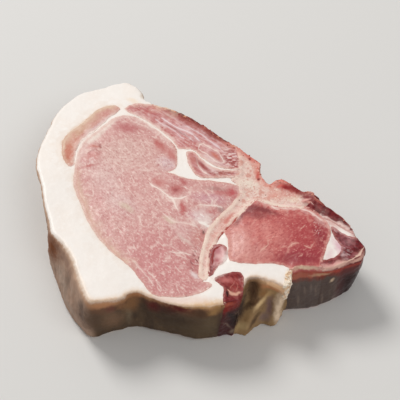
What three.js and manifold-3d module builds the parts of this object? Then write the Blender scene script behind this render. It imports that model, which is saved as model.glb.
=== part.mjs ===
// A raw pork loin chop on the bone, lying on one of its two cut faces.
//
// The chop is a slice across the back of the animal, so everything in it runs straight through
// from one cut face to the other: the T-shaped half vertebra, the loin muscle on one side of it,
// the tenderloin on the other, the small muscles beside them, and the fat that holds them.
// Plan view: X runs from the back fat to the tip of the tenderloin, Y from the belly end to the
// end over the spine, and Z up from the face it lies on. Millimetres. The origin is under the
// middle of the chop's bounding box.
import * as THREE from "three";
import { mergeVertices } from "three/addons/utils/BufferGeometryUtils.js";
import Module from "manifold-3d";

const wasm = await Module();
wasm.setup();

// Driving dimensions.
const THICKNESS = 27; // between the two cut faces
const SEAM_GAP = 0.3; // left between neighbouring pieces
const RELIEF_STEP = 6; // grid of the cut face's relief
const OUTLINE_STEP = 3; // between points along an inner outline
const FOOT_ROUND = 0.8; // how far the lower edge is rounded in
const FOOT_ROUND_HEIGHT = 1.8;
const LEAN_REACH = 9; // how far inside the wall its lean dies away
const OVERSHOOT = 4; // tools run this far past the slab they cut

// The outer edge of the upper cut face, clockwise from the step where the back fat ends.
// Each point is [x, y, leanX, leanY]: the last two say how far the wall's foot stands from it.
// round is the edge's rounding, bulge how far the wall swells at half height, step the spacing
// of the wall's columns. Stretches meet in corners.
const RIM = [
  {
    name: "sawn edge over the spine muscles", step: 3.4, round: 0.6, bulge: 0.3,
    points: [[-25.5, 56.5], [-20.5, 53], [-12.5, 50.5], [-2.5, 44.5], [7.5, 35.5], [14.5, 28.8],
      [17.5, 27], [24.5, 20.8], [32, 14]],
  },
  {
    name: "half of the spinal canal", step: 2, round: 0.5, bulge: 0,
    points: [[32, 14], [31.3, 9], [33, 3.5], [36, 0.8], [38.5, 3.5]],
  },
  {
    name: "sawn face of the vertebra's body", step: 3, round: 0.6, bulge: 0.2,
    points: [[38.5, 3.5], [42.5, 3.8], [47.5, -1], [51.5, -4.2], [55, -4.7], [61, -13], [70, -21.5],
      [73.5, -31]],
  },
  {
    name: "tip", step: 2.4, round: 1.4, bulge: 0.6,
    points: [[73.5, -31, 0, 0], [77, -36, -3.4, 0], [77, -40, -3.5, 0.4], [74.2, -45, -3.2, 1.7],
      [68, -46.8, -1.2, 0.7], [63, -49, 0, 0.2]],
  },
  {
    name: "side of the tenderloin", step: 3, round: 1.2, bulge: 0.8,
    points: [[63, -49, 0, 0.2], [58, -49.5, 0, -1.2], [52.5, -49.5, 0, -3.5],
      [47.5, -49.2, 0, -4], [42, -50.6, -0.5, -3]],
  },
  {
    name: "frayed cut end of the flank fat", step: 1.3, round: 0.9, bulge: 0,
    points: [[42, -50.6, -0.5, -3], [43.4, -52.5, -2, -1], [42.2, -53.9, -1.4, -0.6],
      [42.9, -55.8, -2.9, 0.6], [41, -58.6, -1.9, 0.2], [39.8, -60.2, -1.8, 0]],
  },
  {
    name: "folded front of the flank fat", step: 0.95, round: 1.5, bulge: 0, folded: true,
    points: [[39.8, -60.2, -1.8, 0], [35.7, -58.2, -1.2, -4.2], [30.2, -56, -0.4, -7.2],
      [27, -55, -1.4, -9.4], [24.3, -55.4, -3, -10.8], [22.7, -57.2, -4.2, -9.6]],
  },
  {
    name: "flank muscle", step: 2.2, round: 1.2, bulge: 0,
    points: [[22.7, -57.2, -4.2, -9.6], [21.5, -60.5, -5, -6.6], [20, -65.5, -5, -1.4],
      [14, -67.8, -3.4, -0.2]],
  },
  {
    name: "belly end of the back fat", step: 3.2, round: 1.5, bulge: 0.8,
    points: [[14, -67.8, -3.4, -0.2], [7, -69.9, -0.3, 0.8], [-1, -69.9, 0, 1], [-10, -68.3, 0, 1.8],
      [-19, -64.7, 0, 0.6], [-24, -62.4, 0, -0.5], [-27.7, -62.6, -1, -0.5], [-31, -66, -1.5, 2],
      [-37, -67.3, -1, 1.4], [-44, -68.2, -0.6, -0.2], [-46.7, -66.8, -1.6, -0.6]],
  },
  {
    name: "skin side of the back fat, flared", step: 3.2, round: 1.8, bulge: 1,
    points: [[-46.7, -66.8, -1.6, -0.6], [-48.5, -62.5, -4, 0], [-51.5, -54.5, -6.6, 0],
      [-54.5, -45.5, -7.6, -0.5], [-58, -39, -6.4, -0.5], [-62, -33.4, -4.6, 0],
      [-65.6, -29.3, -2.4, 1], [-67.4, -22.5, -1.4, 0]],
  },
  {
    name: "skin side of the back fat, undercut", step: 4, round: 1.8, bulge: 0,
    points: [[-67.4, -22.5, -1.4, 0], [-70.5, -13, 0.9, 0], [-73, -0.5, 3.4, 0], [-76.3, 9, 4, 0],
      [-77.4, 18, 3.2, 0], [-75.5, 29.5, 2, 0], [-73, 38.5, 1, 0], [-70.5, 48, 0.4, 0],
      [-64, 57.5, 0, 0], [-58, 63, 0, 0], [-49, 66], [-38, 70.2], [-33.5, 69.5],
      [-28.5, 65], [-26.3, 60.5], [-25.5, 56.5]],
  },
];

// The folds on the front of the flank fat. Each crosses the stretch from at[0] at the foot to
// at[1] at the top, as shares of its length, and stands out by out[0] at the foot, out[1] higher.
const FOLDS = [
  { name: "outer lobe", at: [0.08, 0.05], width: 0.13, out: [1.2, 0.8] },
  { name: "groove", at: [0.4, 0.2], width: 0.11, out: [-2, -1.8] },
  { name: "slanting ridge", at: [0.74, 0.3], width: 0.15, out: [2.4, 1] },
  { name: "hollow under the lip", at: [1.02, 0.6], width: 0.14, out: [-2, -4.2] },
  { name: "thin fold", at: [1.05, 0.77], width: 0.07, out: [0.5, 2.2] },
];
const FOLD_FLARE = 1.5; // the folded front flares out towards its foot, by this power of the depth

// The pieces inside the rim. Where two outlines overlap, the earlier piece keeps the ground, so
// each shared border is drawn once, by the earlier of the two. The last piece, the back fat, is
// all that is left. crown is how far a piece stands above its edges, within about spread of them.
const PIECES = [
  {
    name: "t_bone", crown: -0.5, spread: 2.5, color: 0xdcbcae, roughness: 0.55,
    outline: [[22, 30], [22, 13], [21.3, 6], [17.5, 2.8], [20.5, 0], [22, -4.5], [18.5, -11.5],
      [11, -21], [6.6, -27.5], [4.8, -34], [3.4, -41], [2.6, -49], [2.6, -54], [4.6, -55],
      [6.4, -51.5], [6.6, -45], [7.2, -39], [9.2, -35.2], [12, -30], [18, -22.3], [25.5, -12.5],
      [29, -9.6],
      [34, -11.8], [42, -14.3], [50, -15.2], [52.5, -12], [56.2, -8.6], [55, -5], [60, 5],
      [45, 18], [34, 30]],
  },
  {
    name: "loin_eye", crown: 0.9, spread: 7, color: 0xd99d98, roughness: 0.45,
    outline: [[-56.9, 15], [-56.5, 21], [-54.8, 27], [-48.8, 34.2], [-44.8, 38.9], [-40.6, 42.8],
      [-34, 45], [-28.6, 43], [-22.1, 38], [-15.9, 32], [-11.2, 26], [-9.1, 20.5], [-8.8, 14],
      [-9.6, 9.4],
      [-14.5, 7.4], [-9.6, 5.6], [-4, 3], [3, 1.6], [10, 1.2], [17, -0.6], [24, -4], [22, -12],
      [12, -26], [7, -38], [5, -50], [3.5, -56.6], [8.2, -57.4], [4.5, -60.9], [-1.5, -63.2],
      [-10.5, -63.8], [-17.3, -62.8], [-20.2, -59.8], [-24, -53.5], [-30, -46.3], [-37, -39.6],
      [-43.3, -31.5], [-48.4, -22.5], [-52.8, -11.5], [-55.8, -3.5], [-57.3, 3.5], [-57.2, 9]],
  },
  {
    name: "tenderloin", crown: 1.5, spread: 4.5, color: 0xbd6264, roughness: 0.4,
    outline: [[16.3, -44.6], [15.8, -38], [15.6, -32], [13.6, -28], [15, -20], [22, -10],
      [30, -5], [44, -9], [52, -15], [56.5, -18.6], [60.3, -23.5], [61.5, -29], [60, -34.5],
      [58, -40], [56.6, -45], [56, -50], [55.5, -60], [43.2, -60], [43, -50.5], [40.5, -47.6],
      [34, -46.5], [28, -46.8], [21.5, -46]],
  },
  {
    name: "crescent_muscle", crown: 0.5, spread: 2, color: 0xc07a76, roughness: 0.45,
    outline: [[-3.5, 20.3], [-0.7, 20], [2.8, 15.6], [7, 11], [12, 8.3], [18, 7.8], [26, 7.6],
      [26, 4.8], [17, 4.4], [9, 4], [3.6, 4], [0.2, 6.8], [-2.4, 13]],
  },
  {
    name: "chine_muscle", crown: 0.6, spread: 4, color: 0xcf8f8c, roughness: 0.45,
    outline: [[-35.3, 49.6], [-32, 52.6], [-27.5, 53.2], [-23, 52.4], [-19, 54], [-16, 60],
      [0, 56], [26, 32], [26, 18], [26, 10.2], [14.5, 10], [10, 11.8], [6.3, 14.8], [2.5, 19],
      [-1.5, 22.8], [-7.6, 22.8], [-10, 28], [-14, 32.8], [-19.6, 38.2], [-25.3, 43],
      [-30.7, 46.6]],
  },
  {
    name: "cap_muscle", crown: 0.4, spread: 3, color: 0xcb9380, roughness: 0.45,
    outline: [[-40.2, 51.8], [-44.5, 51.3], [-49, 49], [-53, 43.7], [-57, 38.6], [-62, 33.6],
      [-64.4, 28.4], [-64, 20.5], [-62, 14], [-59.3, 10.8], [-58.3, 13], [-58.5, 19.5],
      [-57.7, 24.4], [-55.5, 28.6], [-50.4, 35], [-46.3, 40.4], [-42.6, 45.2], [-39.2, 48.3],
      [-38.2, 50.6]],
  },
  {
    name: "edge_muscle", crown: 0.5, spread: 2.5, color: 0x8d3f40, roughness: 0.42,
    outline: [[54, -3], [62, 0], [75, -12], [82, -26], [78, -29.5], [72.6, -29.3], [68.3, -26.4],
      [63.7, -22.6], [59, -20], [55.5, -17.3], [52, -15], [50, -12], [51, -7]],
  },
  {
    name: "tip_muscle", crown: 0.6, spread: 3, color: 0x83464b, roughness: 0.42,
    outline: [[62.8, -25.4], [66, -29.2], [70.3, -31.6], [74.5, -32.6], [84, -32], [86, -46],
      [74, -56], [55, -57], [54.5, -46.5], [58.5, -45], [62.4, -44.2], [65, -41.8], [67.2, -38],
      [65.6, -34.6], [63.5, -30]],
  },
  {
    name: "rib_muscle", crown: 0.3, spread: 1.5, color: 0xa05355, roughness: 0.45,
    outline: [[8.4, -36.4], [12.4, -36.3], [14.1, -37.8], [14.4, -40.8], [14, -44.2],
      [12.6, -46.2], [9.8, -47.8], [8.6, -51.4], [7, -53.4], [5, -52.6], [5, -46], [5.5, -39]],
  },
  {
    name: "flank_muscle", crown: 0.4, spread: 2.5, color: 0x8e3b38, roughness: 0.42,
    outline: [[9, -55.2], [12.6, -53.4], [16.4, -52.3], [19.6, -52.3], [20.8, -53.2], [21, -57],
      [20.7, -62], [21, -78], [12.5, -78], [13.2, -67.5], [13.6, -62.5], [13.7, -60.3],
      [11.6, -57.4]],
  },
  {
    name: "tip_fat", crown: 0.2, spread: 2, color: 0xeed9d0, roughness: 0.5,
    outline: [[51, -13], [58, -14], [70, -20], [84, -25], [84, -36], [72, -40], [66, -48],
      [54, -49], [52, -36], [55, -24]],
  },
  {
    name: "flank_fat", crown: 0.7, spread: 4, color: 0xf3e6da, roughness: 0.5,
    outline: [[8.3, -54.6], [5.5, -48], [6.2, -38], [8.8, -31], [14.5, -28], [20, -34], [20, -42],
      [36, -43], [50, -46], [50, -66], [30, -78], [17, -78], [17, -58], [12, -55.4]],
  },
  { name: "back_fat", crown: 0.35, spread: 6, color: 0xf6ede4, roughness: 0.5 },
];

// Broad, shallow waves of the whole cut face: [height, wavelength along X, along Y, phase].
const WAVES = [[0.3, 118, 160, 0.6], [0.2, 64, -92, 2.1], [0.12, -47, 55, 4.0]];

function closedOutline(points) {
  const curve = new THREE.CatmullRomCurve3(
    points.map(([x, y]) => new THREE.Vector3(x, y, 0)), true, "centripetal");
  const count = Math.round(curve.getLength() / OUTLINE_STEP);
  return curve.getSpacedPoints(count).slice(0, -1).map((p) => new THREE.Vector2(p.x, p.y));
}

function distanceToLoop(point, loop) {
  let least = Infinity;
  loop.forEach((a, i) => {
    const b = loop[(i + 1) % loop.length];
    const along = b.clone().sub(a);
    const share = point.clone().sub(a).dot(along) / along.lengthSq();
    const nearest = a.clone().addScaledVector(along, THREE.MathUtils.clamp(share, 0, 1));
    least = Math.min(least, nearest.distanceTo(point));
  });
  return least;
}

function waveHeight(x, y) {
  return WAVES.reduce(
    (sum, [height, alongX, alongY, phase]) =>
      sum + height * Math.sin(2 * Math.PI * (x / alongX + y / alongY) + phase), 0);
}

// The wall's columns, clockwise: where each meets the upper edge, its lean and its outward side.
function wallColumns() {
  const columns = RIM.flatMap((stretch) => {
    const edge = new THREE.SplineCurve(stretch.points.map(([x, y]) => new THREE.Vector2(x, y)));
    const lean = new THREE.SplineCurve(
      stretch.points.map(([, , x = 0, y = 0]) => new THREE.Vector2(x, y)));
    const count = Math.ceil(edge.getLength() / stretch.step);
    return Array.from({ length: count }, (_, i) => ({
      stretch,
      share: i / count,
      top: edge.getPoint(i / count),
      lean: lean.getPoint(i / count),
    }));
  });
  columns.forEach((column, i) => {
    const before = columns.at((i + columns.length - 2) % columns.length).top;
    const after = columns.at((i + 2) % columns.length).top;
    const along = after.clone().sub(before).normalize();
    column.out = new THREE.Vector2(-along.y, along.x);
    column.height = THICKNESS + waveHeight(column.top.x, column.top.y);
  });
  return columns;
}

function foldOut(share, height) {
  const { smoothstep, lerp } = THREE.MathUtils;
  const fade = (1 - smoothstep(height, 0.75, 0.96)) * smoothstep(share, 0, 0.1)
    * (1 - smoothstep(share, 0.9, 1));
  return FOLDS.reduce((sum, { at, width, out }) => {
    const apart = (share - lerp(at[0], at[1], height)) / width;
    return sum + fade * lerp(out[0], out[1], height) * Math.exp(-(apart ** 2));
  }, 0);
}

// How far the upper edge's rounding takes the wall in at a depth below the cut face.
function edgeInset(round, depth) {
  const into = THREE.MathUtils.clamp(round - depth, 0, round);
  return round - Math.sqrt(round ** 2 - into ** 2);
}

function wallPoint(column, z) {
  const { stretch, share } = column;
  const height = THREE.MathUtils.clamp(z / column.height, 0, 1);
  const foot = Math.max(0, 1 - z / FOOT_ROUND_HEIGHT);
  const bulge = stretch.bulge * Math.sin(Math.PI * height);
  const fold = stretch.folded ? foldOut(share, height) : 0;
  const leaning = stretch.folded ? (1 - height) ** FOLD_FLARE : 1 - height;
  const inset = FOOT_ROUND * foot ** 2 + edgeInset(stretch.round, column.height - z);
  const point = column.top.clone()
    .addScaledVector(column.lean, leaning)
    .addScaledVector(column.out, bulge + fold - inset);
  return new THREE.Vector3(point.x, point.y, z);
}

function asSolid(positions, triangles) {
  return new wasm.Manifold(new wasm.Mesh({
    numProp: 3,
    vertProperties: Float32Array.from(positions),
    triVerts: Uint32Array.from(triangles),
  }));
}

// A capped solid from rings of points one above the other, all clockwise.
function loft(rings) {
  const count = rings[0].length;
  const positions = rings.flat().flatMap((p) => [p.x, p.y, p.z]);
  const triangles = [];
  for (let r = 0; r < rings.length - 1; r++) {
    for (let i = 0; i < count; i++) {
      const j = (i + 1) % count;
      const [a, b, c, d] = [r * count + i, r * count + j, (r + 1) * count + j, (r + 1) * count + i];
      triangles.push(a, c, b, a, d, c);
    }
  }
  [0, rings.length - 1].forEach((r) => {
    const points = rings[r];
    THREE.ShapeUtils.triangulateShape(points, []).forEach(([a, b, c]) => {
      const area = (points[b].x - points[a].x) * (points[c].y - points[a].y)
        - (points[c].x - points[a].x) * (points[b].y - points[a].y);
      const faceUp = r > 0;
      const turned = area > 0 === faceUp ? [a, b, c] : [a, c, b];
      triangles.push(...turned.map((i) => r * count + i));
    });
  });
  return asSolid(positions, triangles);
}

// The whole chop's outer wall, run on past the cut face.
function wallSolid(columns) {
  const heights = [0, 0.6, FOOT_ROUND_HEIGHT, 6.5, 12, 17.5];
  const depths = [5, 1.8, 0.7, 0.15, -OVERSHOOT];
  return loft([
    ...heights.map((z) => columns.map((c) => wallPoint(c, z))),
    ...depths.map((depth) => columns.map((c) => wallPoint(c, c.height - depth))),
  ]);
}

// How far a point of the plan moves between the cut face and the underside: all of the wall's lean
// at the rim, and none of it well inside.
function leanAt(point, columns) {
  const lean = new THREE.Vector2();
  let total = 0;
  let nearest = columns[0];
  columns.forEach((column) => {
    const apart = column.top.distanceTo(point);
    const weight = 1 / (apart ** 2 + 4) ** 2;
    lean.addScaledVector(column.lean, weight);
    total += weight;
    if (apart < nearest.top.distanceTo(point)) nearest = column;
  });
  const inside = Math.max(0, nearest.top.clone().sub(point).dot(nearest.out));
  return lean.multiplyScalar(Math.exp(-inside / LEAN_REACH) / total);
}

// The column of ground inside an outline, which leans with the outer wall.
function groundUnder(loop, columns, grow = 0) {
  const points = loop.map((p, i) => {
    const along = loop[(i + 1) % loop.length].clone().sub(loop.at(i - 1)).normalize();
    return p.clone().addScaledVector(new THREE.Vector2(-along.y, along.x), grow);
  });
  const leans = points.map((p) => leanAt(p, columns));
  const level = (z) => points.map((p, i) => {
    const moved = p.clone().addScaledVector(leans[i], 1 - z / THICKNESS);
    return new THREE.Vector3(moved.x, moved.y, z);
  });
  return loft([level(-OVERSHOOT), level(THICKNESS + 2 * OVERSHOOT)]);
}

// A block whose top is the piece's own cut face: the broad waves, and a crown away from its edges.
function reliefBlock(piece, borders, bounds) {
  const size = bounds.getSize(new THREE.Vector2());
  const middle = bounds.getCenter(new THREE.Vector2());
  const cells = size.clone().divideScalar(RELIEF_STEP).ceil();
  const box = new THREE.BoxGeometry(size.x, size.y, 2 * OVERSHOOT, cells.x, cells.y, 1);
  box.translate(middle.x, middle.y, 0);
  box.deleteAttribute("normal");
  box.deleteAttribute("uv");
  const block = mergeVertices(box);
  const position = block.getAttribute("position");
  for (let i = 0; i < position.count; i++) {
    if (position.getZ(i) < 0) continue;
    const point = new THREE.Vector2().fromBufferAttribute(position, i);
    const inside = Math.min(...borders.map((loop) => distanceToLoop(point, loop)));
    const crown = piece.crown * (1 - Math.exp(-inside / piece.spread));
    position.setZ(i, THICKNESS + waveHeight(point.x, point.y) + crown);
  }
  return asSolid(position.array, block.index.array);
}

function largestPart(solid) {
  return solid.decompose().reduce((best, part) => (part.volume() > best.volume() ? part : best));
}

function asMesh(piece, solid) {
  const { vertProperties, triVerts, numProp } = solid.getMesh();
  const positions = new Float32Array((vertProperties.length / numProp) * 3);
  for (let i = 0; i < positions.length / 3; i++) {
    positions.set(vertProperties.subarray(i * numProp, i * numProp + 3), i * 3);
  }
  const geometry = new THREE.BufferGeometry();
  geometry.setAttribute("position", new THREE.BufferAttribute(positions, 3));
  geometry.setIndex(new THREE.BufferAttribute(Uint32Array.from(triVerts), 1));
  const welded = mergeVertices(geometry, 1e-3);
  welded.computeVertexNormals();
  const material = new THREE.MeshStandardMaterial({
    color: piece.color, roughness: piece.roughness, metalness: 0, flatShading: true });
  const mesh = new THREE.Mesh(welded, material);
  mesh.name = piece.name;
  return mesh;
}

function clockwise(loop) {
  return THREE.ShapeUtils.isClockWise(loop) ? loop : loop.slice().reverse();
}

function makeChop() {
  const columns = wallColumns();
  const wall = wallSolid(columns);
  const bounds = new THREE.Box2().setFromPoints(columns.map((c) => c.top))
    .expandByScalar(LEAN_REACH);
  const chop = new THREE.Group();
  chop.name = "pork_chop";
  const borders = [];
  let taken = null; // the ground of the pieces made so far, grown by the seam gap
  PIECES.forEach((piece) => {
    let ground = wall;
    let reliefBounds = bounds;
    if (piece.outline) {
      const loop = clockwise(closedOutline(piece.outline));
      borders.push(loop);
      reliefBounds = new THREE.Box2().setFromPoints(loop).expandByScalar(LEAN_REACH)
        .intersect(bounds);
      ground = wall.intersect(groundUnder(loop, columns));
    }
    let solid = ground.intersect(reliefBlock(piece, borders, reliefBounds));
    if (taken) solid = solid.subtract(taken);
    if (piece.outline) {
      const grown = groundUnder(borders.at(-1), columns, SEAM_GAP);
      taken = taken ? taken.add(grown) : grown;
    }
    chop.add(asMesh(piece, largestPart(solid)));
  });
  return chop;
}

export default makeChop();
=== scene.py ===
"""The looks of a raw pork loin chop on the bone.

Each solid of the chop is replaced by a fine, slightly uneven skin over the same form. The skins of
neighbours reach a little into each other, as flesh that has grown together does. Sizes and places
are in millimetres, in the chop's own frame: X from the back fat to the tip of the tenderloin, Y from
the belly end to the end over the spine, Z up from the face it lies on.
"""
import math

import bmesh
import bpy
import numpy as np
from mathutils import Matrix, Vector
from mathutils.bvhtree import BVHTree
from mathutils.kdtree import KDTree


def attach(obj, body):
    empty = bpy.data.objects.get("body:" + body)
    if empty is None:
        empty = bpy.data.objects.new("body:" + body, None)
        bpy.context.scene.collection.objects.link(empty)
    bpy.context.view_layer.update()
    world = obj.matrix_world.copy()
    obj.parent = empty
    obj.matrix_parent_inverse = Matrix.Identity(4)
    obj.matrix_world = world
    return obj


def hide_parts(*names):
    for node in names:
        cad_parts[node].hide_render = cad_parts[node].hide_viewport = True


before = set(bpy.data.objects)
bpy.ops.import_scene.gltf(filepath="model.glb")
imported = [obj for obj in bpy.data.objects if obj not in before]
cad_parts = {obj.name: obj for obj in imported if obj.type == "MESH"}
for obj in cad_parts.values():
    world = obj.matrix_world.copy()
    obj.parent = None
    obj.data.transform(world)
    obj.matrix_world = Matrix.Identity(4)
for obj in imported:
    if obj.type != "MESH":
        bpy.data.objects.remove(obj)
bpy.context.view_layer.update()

MM = 0.001
SLAB = 27.0  # between the two cut faces
CUT_FACE_ABOVE = 15.0  # what faces up above this height is the upper cut face


# ----------------------------------------------------------------------------- camera and light

# Here and in the table of lamps, places and widths are in metres. The lens is in millimetres.
VIEW_TARGET = Vector((0.002585, 0.001584, 0.0135))
VIEW_DISTANCE = 0.485
VIEW_HEIGHT = math.radians(50)
LENS = 90
# Each lamp: place, width, watts, tint.
LAMPS = {
    "window": ((-0.85, 1.1, 1.5), 0.8, 26, (1, 0.985, 0.96)),
    "fill": ((0.9, -0.8, 1.5), 1.2, 8.5, (1, 0.99, 0.975)),
}
ROOM_TINT = (1, 0.99, 0.98, 1)
ROOM_LIGHT = 0.335


def add_object(name, data):
    thing = bpy.data.objects.new(name, data)
    bpy.context.scene.collection.objects.link(thing)
    return thing


def aim(thing, place):
    thing.location = place
    thing.rotation_euler = (VIEW_TARGET - thing.location).to_track_quat("-Z", "Y").to_euler()


def make_camera():
    data = bpy.data.cameras.new("camera")
    data.lens = LENS
    camera = add_object("camera", data)
    back = Vector((0, -math.cos(VIEW_HEIGHT), math.sin(VIEW_HEIGHT)))
    aim(camera, VIEW_TARGET + back * VIEW_DISTANCE)
    bpy.context.scene.camera = camera


def make_studio():
    for name, (place, width, watts, tint) in LAMPS.items():
        data = bpy.data.lights.new(name, "AREA")
        data.shape = "DISK"
        data.size = width
        data.energy = watts
        data.color = tint
        aim(add_object(name, data), place)
    world = bpy.data.worlds.new("studio")
    world.use_nodes = True
    background = world.node_tree.nodes["Background"]
    background.inputs["Color"].default_value = ROOM_TINT
    background.inputs["Strength"].default_value = ROOM_LIGHT
    bpy.context.scene.world = world
    bpy.context.scene.view_settings.view_transform = "Standard"


# ------------------------------------------------------------------------- sums on node sockets


class Wire:
    """An output socket. Sums on it add Math nodes, or Vector Math nodes for vectors and colours."""

    def __init__(self, tree, socket):
        self.tree, self.socket = tree, socket

    def sum(self, operation, *terms, output=0):
        holds_vector = any(
            isinstance(t, tuple) or isinstance(t, Wire) and t.socket.type in {"VECTOR", "RGBA"}
            for t in terms)
        kind = "ShaderNodeVectorMath" if holds_vector else "ShaderNodeMath"
        return self.tree.node(kind, {"operation": operation}, dict(enumerate(terms)), output)

    def __add__(self, other):
        return self.sum("ADD", self, other)

    def __sub__(self, other):
        return self.sum("SUBTRACT", self, other)

    def __mul__(self, other):
        return self.sum("MULTIPLY", self, other)

    def __truediv__(self, other):
        return self.sum("DIVIDE", self, other)

    def __rsub__(self, other):
        return self.sum("SUBTRACT", other, self)

    def __rtruediv__(self, other):
        return self.sum("DIVIDE", other, self)

    __radd__ = __add__
    __rmul__ = __mul__

    def least(self, other):
        return self.sum("MINIMUM", self, other)

    def most(self, other):
        return self.sum("MAXIMUM", self, other)

    def dot(self, other):
        return self.sum("DOT_PRODUCT", self, other, output="Value")

    def apart(self, other):
        """How far this place is from another."""
        return self.sum("DISTANCE", self, other, output="Value")

    def steps(self, low, high):
        """0 below low, 1 above high, smooth between. With low above high it falls instead."""
        return self.tree.node(
            "ShaderNodeMapRange", {"interpolation_type": "SMOOTHSTEP"},
            {"Value": self, "From Min": low, "From Max": high, "To Min": 0, "To Max": 1})

    def also(self, name):
        """Another output of the same node."""
        return Wire(self.tree, self.tree.pick(self.socket.node.outputs, name))


class Tree:
    """A node tree under construction, of a material or of Geometry Nodes."""

    def __init__(self, nodes, links):
        self.nodes, self.links = nodes, links

    def node(self, kind, settings=None, sockets=None, output=0):
        """Any node: its settings are set first, then its sockets' values and links."""
        made = self.nodes.new(kind)
        for name, value in (settings or {}).items():
            setattr(made, name, value)
        for name, value in (sockets or {}).items():
            self.join(made, name, value)
        return Wire(self, self.pick(made.outputs, output)) if len(made.outputs) else made

    def pick(self, sockets, name):
        if isinstance(name, int):
            return sockets[name]
        return next(s for s in sockets if s.identifier == name)

    def join(self, made, name, value):
        socket = self.pick(made.inputs, name)
        if isinstance(value, Wire):
            self.links.new(value.socket, socket)
        elif socket.type == "RGBA" and len(value) == 3:
            socket.default_value = (*value, 1)
        elif socket.type == "VECTOR" and isinstance(value, (int, float)):
            socket.default_value = (value,) * 3
        else:
            socket.default_value = value

    def vector(self, x, y, z=0):
        return self.node("ShaderNodeCombineXYZ", {}, {"X": x, "Y": y, "Z": z})

    def noise(self, place, size, detail, seed, rough=0.5, output="Fac"):
        """Noise from 0 to 1, whose lumps are about size across."""
        return self.node(
            "ShaderNodeTexNoise", {"noise_dimensions": "4D"},
            {"Vector": place, "W": seed, "Scale": 1 / size, "Detail": detail,
             "Roughness": rough}, output)

    def drift(self, place, size, reach, seed):
        """An uneven shift of a place, by up to about reach in its plane."""
        return (self.noise(place, size, 2, seed, output="Color") - 0.5) * (2 * reach, 2 * reach, 0)

    def waver(self, place, size, reach, seed):
        return place + self.drift(place, size, reach, seed)

    def cells(self, place, size, feature="F1"):
        """The distance from the middle or edge of cells about size across, in shares of that size."""
        return self.node("ShaderNodeTexVoronoi", {"feature": feature},
                         {"Vector": place, "Scale": 1 / size}, "Distance")

    def along(self, place, heading, stretch):
        """The place as fibres see it: a pattern on it is drawn out by stretch along heading."""
        turned = self.node(
            "ShaderNodeVectorRotate", {"rotation_type": "Z_AXIS"},
            {"Vector": place, "Angle": heading * (-math.pi / 180)})
        return turned * self.vector(1 / stretch, 1, 1 / stretch)


def tone(red, green, blue):
    """A colour as it shows, in steps of 0 to 255, made linear."""
    def straight(value):
        share = value / 255
        return share / 12.92 if share <= 0.04045 else ((share + 0.055) / 1.055) ** 2.4
    return straight(red), straight(green), straight(blue)


# ----------------------------------------------------------------------------- painting a finish

PATCH_BLUR = 0.85  # how much of a patch's half size its soft edge takes up


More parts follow.
